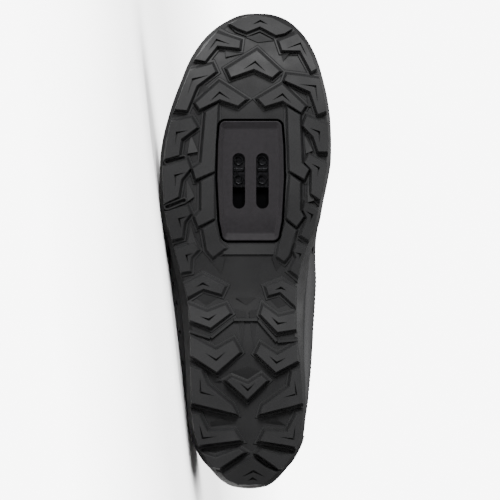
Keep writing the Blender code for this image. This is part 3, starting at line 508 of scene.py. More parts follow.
def half_width(station, side, ring):
    value = 1 + 2 * ring + (0 if side > 0 else 1)
    return side * BALL_WIDTH * outline.at(value, station)


def tread_z(y):
    return TOE_SPRING * profile.at(1, y / LENGTH)


def top_z(y):
    return HEEL_STACK * profile.at(2, y / LENGTH)


def root_z(y):
    return tread_z(y) + LUG_HEIGHT * profile.at(3, y / LENGTH)


def tread_point(station, side):
    y = TREAD_SETBACK + (LENGTH - 2 * TREAD_SETBACK) * along_of(station)
    return half_width(station, side, 0), y


def feather_point(station, side):
    return half_width(station, side, 1), LENGTH * along_of(station)


def part_way(first, last, share):
    return first + (last - first) * share


def points_between(a, b, shares):
    """Points at these shares of the way from one point to another."""
    return [tuple(part_way(p, q, share) for p, q in zip(a, b)) for share in shares]


def heading(degrees):
    return Vector((math.sin(math.radians(degrees)), math.cos(math.radians(degrees))))


def grown(corners, by):
    """Plan with each side moved out by a distance; corners run anticlockwise."""
    found = []
    count = len(corners)
    for i in range(count):
        before, here, after = (Vector(corners[(i + k) % count]) for k in (-1, 0, 1))
        first, second = (here - before).normalized(), (after - here).normalized()
        out = Vector((first.y, -first.x)) + Vector((second.y, -second.x))
        out *= 2 / max(out.length_squared, 1.2)
        found.append(tuple(here + out * by))
    return found


def anticlockwise(corners):
    area = sum(a[0] * b[1] - a[1] * b[0] for a, b in zip(corners, corners[1:] + corners[:1]))
    return corners if area > 0 else corners[::-1]


def rounded(corners, radius, steps=8):
    """Plan with its sharp corners turned into arcs."""
    found = []
    count = len(corners)
    for i in range(count):
        before, here, after = (Vector(corners[(i + k) % count]) for k in (-1, 0, 1))
        back, on = (before - here).normalized(), (after - here).normalized()
        half = back.angle(on) / 2
        if half > math.radians(75):
            found.append(tuple(here))
            continue
        reach = radius / math.tan(half)
        centre = here + (back + on).normalized() * radius / math.sin(half)
        first, last = here + back * reach - centre, here + on * reach - centre
        for k in range(steps + 1):
            turn = first.lerp(last, k / steps).normalized()
            found.append(tuple(centre + turn * radius))
    return found


def split(corners, pitch, measure):
    """Plan with its long sides split, so that a block over it can follow a curved height."""
    found = []
    for a, b in zip(corners, corners[1:] + corners[:1]):
        parts = max(1, round(measure(a, b) / pitch))
        found.extend(points_between(a, b, [k / parts for k in range(parts)]))
    return found


def chevron(apex, inward, arms):
    """Six corners of a lug: outer tip, apex, outer tip, inner tip, notch, inner tip."""
    outer, inner = [], []
    for angle, reach, width, end_cut in arms:
        arm = heading(angle)
        across = (inward - arm * inward.dot(arm)).normalized()
        outer.append(apex + arm * reach * LUG_ARM)
        inner.append(apex + arm * (reach * LUG_ARM + end_cut * LUG_BAR) + across * width * LUG_BAR)
    return [tuple(p) for p in (outer[0], apex, outer[1], inner[1], apex + inward, inner[0])]


def band(rows):
    outer = [(row[0] * BALL_WIDTH, row[1] * LENGTH) for row in rows]
    inner = [(row[2] * BALL_WIDTH, row[3] * LENGTH) for row in rows]
    return outer + inner[::-1]


def within_tread(corner, margin):
    x, y = corner
    y = min(max(y, TREAD_SETBACK + margin), LENGTH - TREAD_SETBACK - margin)
    share = (y - TREAD_SETBACK) / (LENGTH - 2 * TREAD_SETBACK)
    low = half_width(station_of(share), -1, 0) + margin
    high = half_width(station_of(share), 1, 0) - margin
    return min(max(x, low), high), y


def outline_normal(station, side):
    """Outward direction of the feather line in plan."""
    if station < 0.01:
        return Vector((0.0, -1.0, 0.0))
    if station > 0.99:
        return Vector((0.0, 1.0, 0.0))
    a, b = Vector(feather_point(station - 0.01, side)), Vector(feather_point(station + 0.01, side))
    run = (b - a).normalized()
    return Vector((run.y, -run.x, 0.0)) if side > 0 else Vector((-run.y, run.x, 0.0))


def foot_axis(y):
    """Middle line of the upper's edge across the shoe: it bends to the medial side towards the toe."""
    return BALL_WIDTH * (HEEL_AXIS - TOE_BEND * (y / LENGTH) ** 2)


def wrapped(station, side):
    """A station past an end of the foot goes on along the other side."""
    if station > 1:
        return 2 - station, -side
    return (-station, -side) if station < 0 else (station, side)


def curve(first, low, high, last, t):
    s = 1 - t
    return first * s**3 + low * 3 * s * s * t + high * 3 * s * t * t + last * t**3


def wall_point(station, side, up):
    """Outer face of the upper: station round the foot, and 0 at the feather line to 1 at the edge."""
    station, side = wrapped(station, side)
    fx, fy = feather_point(station, side)
    if station < HEEL_ROUND or station > TOE_ROUND:
        tip = HEEL_ROUND if station < HEEL_ROUND else TOE_ROUND
        ends = [feather_point(tip, way)[0] for way in (-1, 1)]
        share = (station / tip if station < 0.5 else (1 - station) / (1 - tip)) * side
        fx = (ends[0] + ends[1]) / 2 + share * (ends[1] - ends[0]) / 2
    along, half, height, foot_out, foot_up, edge_out, edge_drop, foot_in = (
        upper_rows.at(k, station) for k in range(1, 9)
    )
    out = outline_normal(station, side)
    foot = Vector((fx, fy, 0.0)) - out * foot_in * BALL_WIDTH
    foot.z = top_z(foot.y) + GAP
    edge_y = along * LENGTH
    edge = Vector((foot_axis(edge_y) + side * half * BALL_WIDTH, edge_y, height * INSTEP_HEIGHT))
    low = foot + out * foot_out * INSTEP_HEIGHT + Vector((0, 0, foot_up * INSTEP_HEIGHT))
    high = edge + out * edge_out * INSTEP_HEIGHT - Vector((0, 0, edge_drop * INSTEP_HEIGHT))
    return curve(foot, low, high, edge, up)


def wall_normal(station, side, up):
    step = 0.012
    low, high = max(up - step, 0.0), min(up + step, 1.0)
    rise = wall_point(station, side, high) - wall_point(station, side, low)
    run = wall_point(station + step, side, up) - wall_point(station - step, side, up)
    return (run.cross(rise) * side).normalized()


def on_upper(station, side, up, off):
    """Point at a distance off the upper's outer face, never below its foot."""
    station, side = wrapped(station, side)
    point = wall_point(station, side, up) + wall_normal(station, side, up) * off
    if up == 0.0:
        point.z = 0.0
    point.z = max(point.z, top_z(point.y) + GAP)
    return point


def deselect():
    if bpy.context.mode != "OBJECT":
        bpy.ops.object.mode_set(mode="OBJECT")
    bpy.ops.object.select_all(action="DESELECT")


def picked(obj):
    """Makes this the one selected object."""
    deselect()
    obj.select_set(True)
    bpy.context.view_layer.objects.active = obj
    return obj


def edit_all(*steps):
    """Runs mesh operators on the whole active mesh."""
    bpy.ops.object.mode_set(mode="EDIT")
    for step in steps:
        bpy.ops.mesh.select_all(action="SELECT")
        step()
    bpy.ops.object.mode_set(mode="OBJECT")


def merge():
    bpy.ops.mesh.remove_doubles(threshold=0.00001)


def face_out():
    bpy.ops.mesh.normals_make_consistent(inside=False)


def laid(name, columns, rows, place):
    """A grid laid over the form that place gives, in shoe millimetres, from its two shares."""
    deselect()
    bpy.ops.mesh.primitive_grid_add(x_subdivisions=columns, y_subdivisions=rows, size=2)
    obj = bpy.context.active_object
    obj.name = obj.data.name = name
    for v in obj.data.vertices:
        v.co = POSE @ Vector(place((v.co.x + 1) / 2, (v.co.y + 1) / 2))
    return obj


def block(name, rings):
    """A solid drawn up from a plan: a flat ring filled, then extruded to each further ring."""
    count = len(rings[0])
    deselect()
    bpy.ops.mesh.primitive_circle_add(vertices=count, radius=1, fill_type="NGON")
    obj = bpy.context.active_object
    obj.name = obj.data.name = name
    bpy.ops.object.mode_set(mode="EDIT")
    work = bmesh.from_edit_mesh(obj.data)
    loop = [l.vert for l in list(work.faces)[0].loops]
    levels = [[v.index for v in loop]]
    bmesh.update_edit_mesh(obj.data)
    for _ in rings[1:]:
        bpy.ops.mesh.select_all(action="DESELECT")
        work = bmesh.from_edit_mesh(obj.data)
        work.verts.ensure_lookup_table()
        for f in work.faces:
            if all(v.index in levels[-1] for v in f.verts):
                f.select_set(True)
        bmesh.update_edit_mesh(obj.data)
        known = len(work.verts)
        bpy.ops.mesh.extrude_region()
        work = bmesh.from_edit_mesh(obj.data)
        work.verts.ensure_lookup_table()
        work.verts.index_update()
        fresh = {}
        for e in work.edges:
            a, b = e.verts[0].index, e.verts[1].index
            if a in levels[-1] and b >= known:
                fresh[a] = b
            if b in levels[-1] and a >= known:
                fresh[b] = a
        levels.append([fresh[i] for i in levels[-1]])
    bpy.ops.object.mode_set(mode="OBJECT")
    for level, ring in zip(levels, rings):
        for index, point in zip(level, ring):
            obj.data.vertices[index].co = POSE @ Vector(point)
    edit_all(face_out)
    return obj


def applied(obj, kind, **settings):
    """A modifier added and applied."""
    picked(obj)
    modifier = obj.modifiers.new(kind.lower(), kind)
    for key, value in settings.items():
        setattr(modifier, key, value)
    bpy.ops.object.modifier_apply(modifier=modifier.name)
    return obj


def cut(obj, cutter):
    applied(obj, "BOOLEAN", object=cutter, operation="DIFFERENCE", solver="EXACT")
    bpy.data.objects.remove(cutter)
    return obj


def raised(name, *levels):
    """A solid drawn up through plans, each at the height that its function gives along the shoe."""
    return block(name, [[(x, y, height(y)) for x, y in plan] for plan, height in levels])


def over_root(by):
    """Height over the floor between the lugs."""
    return lambda y: root_z(y) + by


def over_tread(by):
    """Height over the line of the tread faces."""
    return lambda y: tread_z(y) + by


def sheet(name, columns, rows, place, thickness, edge=0.0, segments=2):
    """A sheet of real thickness over the form that place gives, its edges rounded."""
    obj = laid(name, columns, rows, place)
    applied(obj, "SOLIDIFY", thickness=thickness * MM, offset=0.0)
    edit_all(face_out)
    return eased(obj, edge, segments) if edge else obj


def closed(obj, fill):
    """A laid form with its doubles merged and its open rims closed by one operator."""
    picked(obj)
    edit_all(merge)
    bpy.ops.object.mode_set(mode="EDIT")
    bpy.ops.mesh.select_all(action="DESELECT")
    bpy.ops.mesh.select_non_manifold(extend=False, use_wire=False, use_boundary=True)
    fill()
    bpy.ops.object.mode_set(mode="OBJECT")
    edit_all(face_out)
    return obj


def eased(obj, width, segments=2, angle=50):
    """Edges rounded by a small bevel, in millimetres."""
    sizes = {"width": width * MM, "segments": segments, "angle_limit": math.radians(angle)}
    return applied(obj, "BEVEL", limit_method="ANGLE", **sizes)


def joined(name, objects):
    deselect()
    for obj in objects:
        obj.select_set(True)
    bpy.context.view_layer.objects.active = objects[0]
    bpy.ops.object.join()
    objects[0].name = objects[0].data.name = name
    return objects[0]


def smooth(obj, angle):
    """Smooth shading up to an angle, with large faces kept flat beside their rounded edges."""
    picked(obj)
    bpy.ops.object.shade_smooth_by_angle(angle=math.radians(angle))
    return applied(obj, "WEIGHTED_NORMAL", mode="FACE_AREA", keep_sharp=True)


def dressed(obj, material, slot, *nodes):
    """Gives a piece its finish, its body and the solids that it stands for."""
    obj.data.materials.clear()
    obj.data.materials.append(material)
    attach(obj, "root")
    if nodes:
        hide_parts(*nodes)
    return obj


def paint_shade_where(obj, material, holds):
    """A second material on the faces for which holds, given their place and direction on the shoe, is true;
    here always near-black painted shade on faces that lie in shadow.
    """
    back = POSE.inverted()
    turn = POSE.to_3x3().normalized().transposed()
    obj.data.materials.append(material)
    for face in obj.data.polygons:
        if holds(back @ face.center, turn @ face.normal):
            face.material_index = 1


def finish_of(name, colour, roughness, **sockets):
    """A material with its shader, and the node tree to hang patterns on."""
    material = bpy.data.materials.new(name)
    material.use_nodes = True
    shader = material.node_tree.nodes["Principled BSDF"]
    shader.inputs["Base Color"].default_value = (*colour, 1.0)
    shader.inputs["Roughness"].default_value = roughness
    for key, value in sockets.items():
        shader.inputs[key.replace("_", " ")].default_value = value
    return material, material.node_tree, shader


def feed(tree, socket, value):
    """Sets an input, or links it where the value is another node's output."""
    if isinstance(value, bpy.types.NodeSocket):
        tree.links.new(value, socket)
    elif value is not None:
        socket.default_value = value


def node(tree, kind, **inputs):
    """A shader node with its inputs, by name, set or linked."""
    made = tree.nodes.new("ShaderNode" + kind)
    for key, value in inputs.items():
        feed(tree, made.inputs[key.replace("_", " ")], value)
    return made


def maths(tree, operation, *values):
    made = node(tree, "Math")
    made.operation = operation
    for socket, value in zip(made.inputs, values):
        feed(tree, socket, value)
    return made.outputs[0]


def noise(tree, where, scale, detail=4.0, rough=0.5):
    return node(tree, "TexNoise", Vector=where, Scale=scale, Detail=detail, Roughness=rough).outputs["Fac"]


def mottle(tree, shader, value, stops, colour, shares):
    """Base colour that follows a pattern between a darker and a lighter share of one colour."""
    made = node(tree, "ValToRGB", Fac=value)
    for element, position, share in zip(made.color_ramp.elements, stops, shares):
        element.position = position
        element.color = (*(c * share for c in colour), 1.0)
    feed(tree, shader.inputs["Base Color"], made.outputs["Color"])


def span(tree, value, low, high, start, end):
    made = node(tree, "MapRange", Value=value, From_Min=low, From_Max=high, To_Min=start, To_Max=end)
    return made.outputs["Result"]


def bump(tree, shader, height, distance, strength, under=None):
    made = node(tree, "Bump", Height=height, Distance=distance, Strength=strength, Normal=under)
    tree.links.new(made.outputs["Normal"], shader.inputs["Normal"])
    return made.outputs["Normal"]


def place_of(tree, kind="Object"):
    return node(tree, "TexCoord").outputs[kind]


def moulded_rubber(name, tone, grain=0.00006):
    """Matt carbon-black rubber: fine mould grain, faint cloudy wear and dust."""
    colour = (tone, tone, tone * 1.03)
    material, tree, shader = finish_of(name, colour, 0.5, Specular_IOR_Level=0.05)
    where = place_of(tree)
    mottle(tree, shader, noise(tree, where, 38.0, 6.0, 0.6), (0.32, 0.72), colour, (0.86, 1.14))
    feed(tree, shader.inputs["Roughness"], span(tree, noise(tree, where, 90.0), 0.3, 0.7, 0.46, 0.6))
    bump(tree, shader, noise(tree, where, 2600.0, 3.0, 0.65), grain, 0.5)
    return material


def grained_plate(name):
    """Glass-filled nylon of the cleat tray: fine even grain with a slight sheen."""
    colour = (0.0054, 0.0049, 0.0055)
    material, tree, shader = finish_of(name, colour, 0.5, Specular_IOR_Level=0.05)
    where = place_of(tree)
    mottle(tree, shader, noise(tree, where, 420.0, 5.0, 0.7), (0.3, 0.75), colour, (0.85, 1.2))
    bump(tree, shader, noise(tree, where, 1900.0, 2.0, 0.6), 0.00005, 0.55)
    return material


def dark_steel(name):
    material, tree, shader = finish_of(name, (0.006, 0.006, 0.0065), 0.32, Metallic=1.0)
    where = place_of(tree)
    feed(tree, shader.inputs["Roughness"], span(tree, noise(tree, where, 700.0, 4.0), 0.3, 0.7, 0.24, 0.48))
    bump(tree, shader, noise(tree, where, 1500.0, 2.0), 0.00002, 0.4)
    return material


def coated_upper(name, colour):
    """Coated synthetic: fine leather-like grain over a soft sheen."""
    material, tree, shader = finish_of(name, colour, 0.6, Specular_IOR_Level=0.10)
    where = place_of(tree)
    cell = node(tree, "TexVoronoi", Scale=1100.0)
    cell.feature = "DISTANCE_TO_EDGE"
    tree.links.new(where, cell.inputs["Vector"])
    mottle(tree, shader, noise(tree, where, 45.0, 5.0), (0.3, 0.75), colour, (0.85, 1.15))
    first = bump(tree, shader, cell.outputs["Distance"], 0.00008, 0.5)
    bump(tree, shader, noise(tree, where, 300.0, 3.0), 0.00012, 0.3, first)
    return material


def woven(name, colour, across, along):
    """Knit or webbing: ribs crossed on the piece's own grid, with so many threads each way."""
    material, tree, shader = finish_of(name, colour, 0.9, Specular_IOR_Level=0.1, Sheen_Weight=0.03)
    where = node(tree, "SeparateXYZ", Vector=place_of(tree, "UV"))
    ribs = [
        maths(tree, "SINE", maths(tree, "MULTIPLY", where.outputs[axis], count * math.tau))
        for axis, count in enumerate((across, along))
    ]
    height = span(tree, maths(tree, "MULTIPLY", *ribs), -1.0, 1.0, 0.0, 1.0)
    # The colour follows the ribs' height: painted shade in the hollows between the threads and painted light
    # on their crests.
    mottle(tree, shader, height, (0.1, 0.8), colour, (0.7, 1.2))
    bump(tree, shader, height, 0.0003, 0.8)
    return material


def stitch_thread(name, colour):
    material, tree, shader = finish_of(name, colour, 0.6, Specular_IOR_Level=0.15)
    bump(tree, shader, noise(tree, place_of(tree), 3000.0, 2.0), 0.00005, 0.5)
    return material


RUBBER = moulded_rubber("moulded_rubber", 0.0050)
# The lugs' rubber is a lighter copy of the sole's: painted light, the raised lugs shown lit over the shaded
# floor between them.
LIT_LUG_RUBBER = moulded_rubber("lit_lug_rubber", 0.0062)
PLATE = grained_plate("tray_nylon")
STEEL = dark_steel("dark_steel")
SHELL = coated_upper("coated_shell", (0.0062, 0.0062, 0.0066))
GUARD = moulded_rubber("guard_rubber", 0.0080, 0.00009)
LINING = woven("lining_knit", (0.034, 0.034, 0.037), 150, 30)
TONGUE_CLOTH = woven("tongue_mesh", (0.014, 0.014, 0.0155), 44, 80)
PANEL_SKIN = coated_upper("panel_skin", (0.0056, 0.0056, 0.0060))
STRAP_CLOTH = coated_upper("strap_cloth", (0.013, 0.013, 0.0138))
FOAM = woven("insole_knit", (0.040, 0.040, 0.043), 50, 150)
# Near-black painted shade, laid on the walls of the tray's joint and slots and on the insole's underside seen
# through them
PAINTED_SHADE_BLACK = finish_of("painted_shade_black", (0.0009, 0.0009, 0.001), 0.9, Specular_IOR_Level=0.0)[0]
THREAD = stitch_thread("stitch_thread", (0.035, 0.035, 0.038))


def make_sole_body():
    """Rubber sole without its lugs: floor, stepped side wall and top, with the cleat window cut through."""

    def wall(s, side):
        tx, ty = tread_point(s, side)
        fx, fy = feather_point(s, side)
        low, high = root_z(ty), top_z(fy)
        out = outline_normal(s, side)
        points = []
        for share, stand, height in SIDE_WALL:
            x = part_way(tx, fx, share) + out.x * stand
            y = part_way(ty, fy, share) + out.y * (stand - SIDE_SWELL)
            points.append((x, min(max(y, 0.0), LENGTH), part_way(low, high, height)))
        return points

    def section(s):
        medial, lateral = wall(s, -1), wall(s, 1)
        floor = points_between(medial[0], lateral[0], [k / FLOOR_PARTS for k in range(1, FLOOR_PARTS)])
        roof = points_between(lateral[-1], medial[-1], [k / ROOF_PARTS for k in range(1, ROOF_PARTS)])
        return floor + lateral + roof + medial[::-1]

    rings = [section(i / SOLE_STATIONS) for i in range(SOLE_STATIONS + 1)]

    def place(u, v):
        line = rings[round(v * SOLE_STATIONS)]
        return line[round(u * len(line)) % len(line)]

    sole = closed(laid("sole_body", len(rings[0]), SOLE_STATIONS, place), bpy.ops.mesh.edge_face_add)
    return cut(sole, window_cutter())


def drawn_lug(name, corners):
    """One lug: its foot in the sole, the drafted wall, and the tread face."""
    corners = split(anticlockwise(corners), LUG_PITCH, math.dist)
    foot = LUG_DRAFT + PLINTH
    wide, ledge, root, face = (
        [within_tread(corner, margin) for corner in grown(corners, by)]
        for by, margin in ((foot, -0.1), (foot - FOOT_EDGE, 0.0), (LUG_DRAFT, 0.1), (-0.1, 0.5))
    )
    step = over_root(-PLINTH_RISE)
    levels = ((wide, over_root(1.2)), (wide, over_root(-0.05)), (ledge, step), (root, step), (face, tread_z))
    return eased(raised(name, *levels), LUG_EDGE, 3, 40)


def vee_cutter(centre, tips):
    """A V groove: widest at its point, running out to nothing at both tips."""
    centre = Vector(centre)
    first, last = Vector(tips[0]), Vector(tips[1])
    inner = ((first + last) / 2 - centre).normalized()
    plan = [first, centre - inner * VEE_WIDTH, last, centre + inner * VEE_WIDTH]
    plan = anticlockwise([tuple(p) for p in plan])
    return raised("groove", (plan, over_tread(-OVERLAP)), (plan, over_tread(VEE_DEPTH)))


def make_lugs():
    """All lugs, each drawn up from its plan, its edges eased and its V groove cut."""
    lugs = []
    for name, across, along, angle, deep, *arms, vee, depth in LUGS:
        apex = Vector((across * BALL_WIDTH, along * LENGTH))
        inward = heading(angle) * deep * LUG_BAR
        lug = drawn_lug(name, chevron(apex, inward, (arms[:4], arms[4:])))
        if vee:
            centre = apex + inward * depth
            tips = [centre + heading(way) * vee * VEE_REACH * LUG_ARM for way in (arms[0], arms[4])]
            cut(lug, vee_cutter(centre, tips))
        if name.startswith("rail"):
            cut(lug, window_cutter())
        lugs.append(lug)
    ends = ("toe_crown", TOE_CROWN, END_VEES[:1]), ("heel_end", HEEL_END, END_VEES[1:])
    for name, rows, vees in ends:
        lug = drawn_lug(name, band(rows))
        for across, along, spread, drop in vees:
            x, y = across * BALL_WIDTH, along * LENGTH
            tips = [(x + way * spread * BALL_WIDTH, y + drop * LENGTH) for way in (-1, 1)]
            cut(lug, vee_cutter((x, y), tips))
        lugs.append(lug)
    return joined("tread_lugs", lugs)


def capsule(start, end, radius, steps):
    """Plan of a slot with round ends."""
    start, end = Vector(start), Vector(end)
    run = (end - start).normalized()
    across = Vector((-run.y, run.x))
    found = []
    for centre, way in ((end, 1), (start, -1)):
        for k in range(steps + 1):
            angle = math.pi * (k / steps - 0.5)
            found.append(tuple(centre + (run * math.cos(angle) + across * math.sin(angle)) * way * radius))
    return found


def make_lip(row):
    """A raised lip round a long slot."""
    ends = [(across * BALL_WIDTH, along * LENGTH) for across, along in (row[:2], row[2:])]
    outer, inner = (capsule(*ends, radius, 8) for radius in (LIP_SLOT + LIP_RIM, LIP_SLOT))
    lip = raised("relief_lip", (outer, over_root(OVERLAP)), (outer, over_root(-LIP_RISE)))
    slot = raised("slot", (inner, over_root(-LIP_RISE - OVERLAP)), (inner, over_root(-0.4)))
    return eased(cut(lip, slot), 0.2)


def make_relief():
    """Low wedges and facets moulded into the floor between the lugs, and the heel's turning ledge."""
    pieces = []
    for name, *marks in RELIEF:
        corners = anticlockwise([(a * BALL_WIDTH, b * LENGTH, rise) for a, b, rise in marks])
        rings = [
            [(x, y, root_z(y) + OVERLAP) for x, y, _ in corners],
            [(x, y, root_z(y) - rise) for x, y, rise in corners],
        ]
        pieces.append(block("relief_" + name, rings))
    line = [Vector((a * BALL_WIDTH, b * LENGTH)) for a, b in LEDGE]
    for a, b in zip(line, line[1:]):
        run = (b - a).normalized()
        off = Vector((-run.y, run.x)) * LEDGE_HALF_WIDTH
        plan = anticlockwise([tuple(a - off), tuple(b - off), tuple(b + off), tuple(a + off)])
        levels = (plan, over_root(OVERLAP)), (grown(plan, -LEDGE_DRAFT), over_root(-LEDGE_RISE))
        pieces.append(raised("relief_ledge", *levels))
    pieces.extend(make_lip(row) for row in LIPS)
    return joined("floor_relief", pieces)


def window_corners(margin):
    axis = WINDOW_AXIS * BALL_WIDTH
    left, right = (
        [(axis + way * half * BALL_WIDTH, along * LENGTH) for along, half in WINDOW] for way in (-1, 1)
    )
    plan = rounded(anticlockwise(right + left[::-1]), WINDOW_CORNER)
    return grown(split(plan, WINDOW_PITCH, lambda a, b: abs(b[1] - a[1])), margin)


def window_cutter():
    """The cleat window, its mouth flared so that a joint runs round the tray, dark from its own shade and
    from the black shade painted on its walls.
    """
    wide, tight = window_corners(JOINT_FLARE), window_corners(0.0)
    levels = ((wide, -LUG_HEIGHT - 2), (wide, 0.05), (tight, JOINT_DEPTH), (tight, WINDOW_CUT))
    return raised("window", *((plan, over_root(by)) for plan, by in levels))


def in_window_wall(place, facing):
    """Whether a face belongs to the wall of the cleat window, which is painted black as shade."""
    across = abs(place.x / BALL_WIDTH - WINDOW_AXIS) - WINDOW_REACH
    along = WINDOW[0][0] - WINDOW_REACH < place.y / LENGTH < WINDOW[-1][0] + WINDOW_REACH
    return along and across < max(half for _, half in WINDOW) and abs(facing.z) < 0.95


def floor_z(y):
    """Height of the tray's floor: level below the slots, and it follows the sole where that curves up."""
    return max(root_z(0.70 * LENGTH) + TRAY_DEPTH - GAP, root_z(y) - GAP + TRAY_DEPTH * 0.8)


def make_tray():
    """Cleat tray: outer wall, rounded rim, sloping inner wall and a floor with two slots."""
    count = len(window_corners(0.0))
    middle = (WINDOW[0][0] + WINDOW[-1][0]) / 2 * LENGTH
    reach = (WINDOW[-1][0] - WINDOW[0][0]) / 2 * LENGTH
    # inset from the window, how much of the ends' own inset, height
    levels = (
        (TRAY_JOINT, 0.0, over_root(5.0)),
        (TRAY_JOINT, 0.0, over_root(0.55 - GAP)),
        (TRAY_JOINT + 0.12, 0.0, over_root(0.16 - GAP)),
        (TRAY_JOINT + 0.35, 0.0, over_root(-GAP)),
        (TRAY_JOINT + 0.60, 0.0, over_root(-GAP)),
        (TRAY_JOINT + 0.85, 0.1, over_root(0.14 - GAP)),
        (TRAY_RIM - 0.4, 0.8, lambda y: floor_z(y) - 0.22),
        (TRAY_RIM, 0.95, lambda y: floor_z(y) - 0.05),
        (TRAY_RIM + 0.5, 1.0, floor_z),
    )

    def ring(inset, share, height):
        """One level of the tray, its two ends drawn in more than its sides."""
        drawn = 1 - share * TRAY_END / reach
        points = [(x, middle + (y - middle) * drawn) for x, y in window_corners(-inset)]
        return [(x, y, height(y)) for x, y in points]

    rings = [ring(*level) for level in levels]
    last = rings[-1]

    def place(u, v):
        k = round(u * count) % count
        j = round(v * len(rings))
        if j < len(rings):
            return rings[j][k]
        m = min(k, count - 1 - k)
        return (Vector(last[m]) + Vector(last[count - 1 - m])) / 2

    tray = laid("cleat_tray", count, len(rings), place)
    picked(tray)
    edit_all(merge)
    applied(tray, "SOLIDIFY", thickness=TRAY_SHEET * MM, offset=1.0)
    edit_all(face_out)
    x, y = WINDOW_AXIS * BALL_WIDTH, SLOT_CENTRE * LENGTH
    half = (SLOT_LENGTH - SLOT_WIDTH) / 2
    for side in (-1, 1):
        centre = x + side * CLEAT_SPACING / 2
        plan = capsule((centre, y - half), (centre, y + half), SLOT_WIDTH / 2, 14)
        levels = ((plan, lambda _: floor_z(y) - 4), (plan, lambda _: floor_z(y) + 6))
        cut(tray, raised("slot", *levels))
    return eased(tray, 0.25)


def round_plan(x, y, radius, steps=28):
    angles = (math.tau * k / steps for k in range(steps))
    return [(x + radius * math.cos(angle), y + radius * math.sin(angle)) for angle in angles]


def make_nut():
    """Cleat nut seen in the slots: a steel bar with four flanged, threaded bosses and cross ribs between."""

    def box(cx, cy, half_width, half_length):
        signs = ((-1, -1), (1, -1), (1, 1), (-1, 1))
        return [(cx + a * half_width, cy + b * half_length) for a, b in signs]

    def level(plan, by):
        return plan, lambda _: low + by

    x = WINDOW_AXIS * BALL_WIDTH
    y = BOSS_CENTRE * LENGTH
    low = floor_z(SLOT_CENTRE * LENGTH) + PLATE_FLOOR + GAP
    plan = rounded(box(x, y, BAR_HALF_WIDTH, BAR_HALF_LENGTH), BAR_CORNER)
    pieces = [raised("cleat_bar", level(plan, 0.0), level(plan, BAR_THICKNESS))]
    for side in (-1, 1):
        cx = x + side * CLEAT_SPACING / 2
        for end in (-1, 1):
            cy = y + end * BOSS_PITCH / 2
            pieces.append(raised("boss", *(level(round_plan(cx, cy, r), z) for r, z in BOSS)))
        rib = box(cx, y, RIB_HALF_LENGTH, RIB_HALF_WIDTH)
        pieces.append(raised("rib", level(rib, 0.2), level(grown(rib, -0.4), -0.8)))
    return eased(joined("cleat_nut_bar", pieces), 0.12, 1)


def crease_lines():
    """Each crease as its side, its two ends on the wall, its width and its depth."""
    lines = []
    for side, along_a, up_a, along_b, up_b, width, depth in CREASES:
        a = wall_point(station_of(along_a), side, up_a)
        b = wall_point(station_of(along_b), side, up_b)
        lines.append((side, a, b, width, depth))
    return lines


def sunk(point, side, lines):
    """How far the creases draw a point of the wall in, with the slight swell on both their sides."""
    depth = 0.0
    for way, a, b, width, deep in lines:
        if way != side:
            continue
        run = b - a
        t = (point - a).dot(run) / run.length_squared
        ease = max(0.0, min(1.0, 4 * (0.5 - abs(t - 0.5)) + 0.4)) if -0.1 < t < 1.1 else 0.0
        off = (point - a - run * min(max(t, 0.0), 1.0)).length / width
        depth += deep * ease * (math.exp(-off * off) - 0.45 * math.exp(-((off - 1.9) ** 2) * 1.4))
    return depth


def make_shell():
    """Lasted upper: outer face, rolled top edge and inner face in one hollow wall."""
    creases = crease_lines()
    rows = 2 * SHELL_ROWS + ROLL_ROWS

    def place(u, v):
        s, side = (2 * u, 1) if 2 * u <= 1 else (2 - 2 * u, -1)
        j = round(v * rows)
        if j <= SHELL_ROWS:
            up = j / SHELL_ROWS
            return on_upper(s, side, up, -sunk(wall_point(s, side, up), side, creases))
        if j >= SHELL_ROWS + ROLL_ROWS:
            return on_upper(s, side, (rows - j) / SHELL_ROWS, -WALL)
        turn = math.pi * (j - SHELL_ROWS) / ROLL_ROWS
        edge = on_upper(s, side, 1.0, -WALL / 2)
        out = wall_normal(s, side, 1.0)
        rise = (wall_point(s, side, 1.0) - wall_point(s, side, 0.97)).normalized()
        return edge + out * math.cos(turn) * WALL / 2 + rise * math.sin(turn) * WALL / 2 * 0.8

    shell = closed(laid("upper_shell", SHELL_COLUMNS, rows, place), bpy.ops.mesh.bridge_edge_loops)
    return cut(shell, joined("holes", wall_holes()))


def wall_hole(side, along, up, half_long, half_high, steps=14):
    """Cutter of an oval hole through the wall."""
    s = station_of(along)
    centre = on_upper(s, side, up, 0.0)
    out = wall_normal(s, side, up)
    run = (wall_point(s + 0.01, side, up) - wall_point(s - 0.01, side, up)).normalized()
    rise = out.cross(run)
    rings = []
    for off in (2.2, -WALL - OVERLAP):
        ring = []
        for k in range(steps):
            angle = math.tau * k / steps
            around = run * half_long * math.cos(angle) + rise * half_high * math.sin(angle)
            ring.append(tuple(centre + out * off + around))
        rings.append(ring)
    return block("hole", rings)


def wall_holes():
    """Vents beside the sole's edge and rows of pinholes over the forefoot."""
    holes = [wall_hole(*row) for row in VENTS]
    for side, first, last, low, high, count in PINHOLES:
        for t in (k / (count - 1) for k in range(count)):
            along, up = part_way(first, last, t), part_way(low, high, t)
            holes.append(wall_hole(side, along, up, PINHOLE, PINHOLE, 8))
    return holes


def bent(values, t):
    """Value between two ends by way of the middle one."""
    a, b, c = values
    middle = 2 * b - (a + c) / 2
    return a * (1 - t) ** 2 + 2 * middle * t * (1 - t) + c * t * t


def make_panel(row):
    """Thin panel sewn over the wall."""
    name, side, first, last, low, high = row
    creases = crease_lines()

    def place(u, v):
        s = part_way(first, last, u)
        up = bent(low, u) * (1 - v) + bent(high, u) * v
        return on_upper(s, side, up, PANEL / 2 + 0.02 - sunk(wall_point(s, side, up), side, creases))

    return sheet(name, 72, 18, place, PANEL, 0.15)


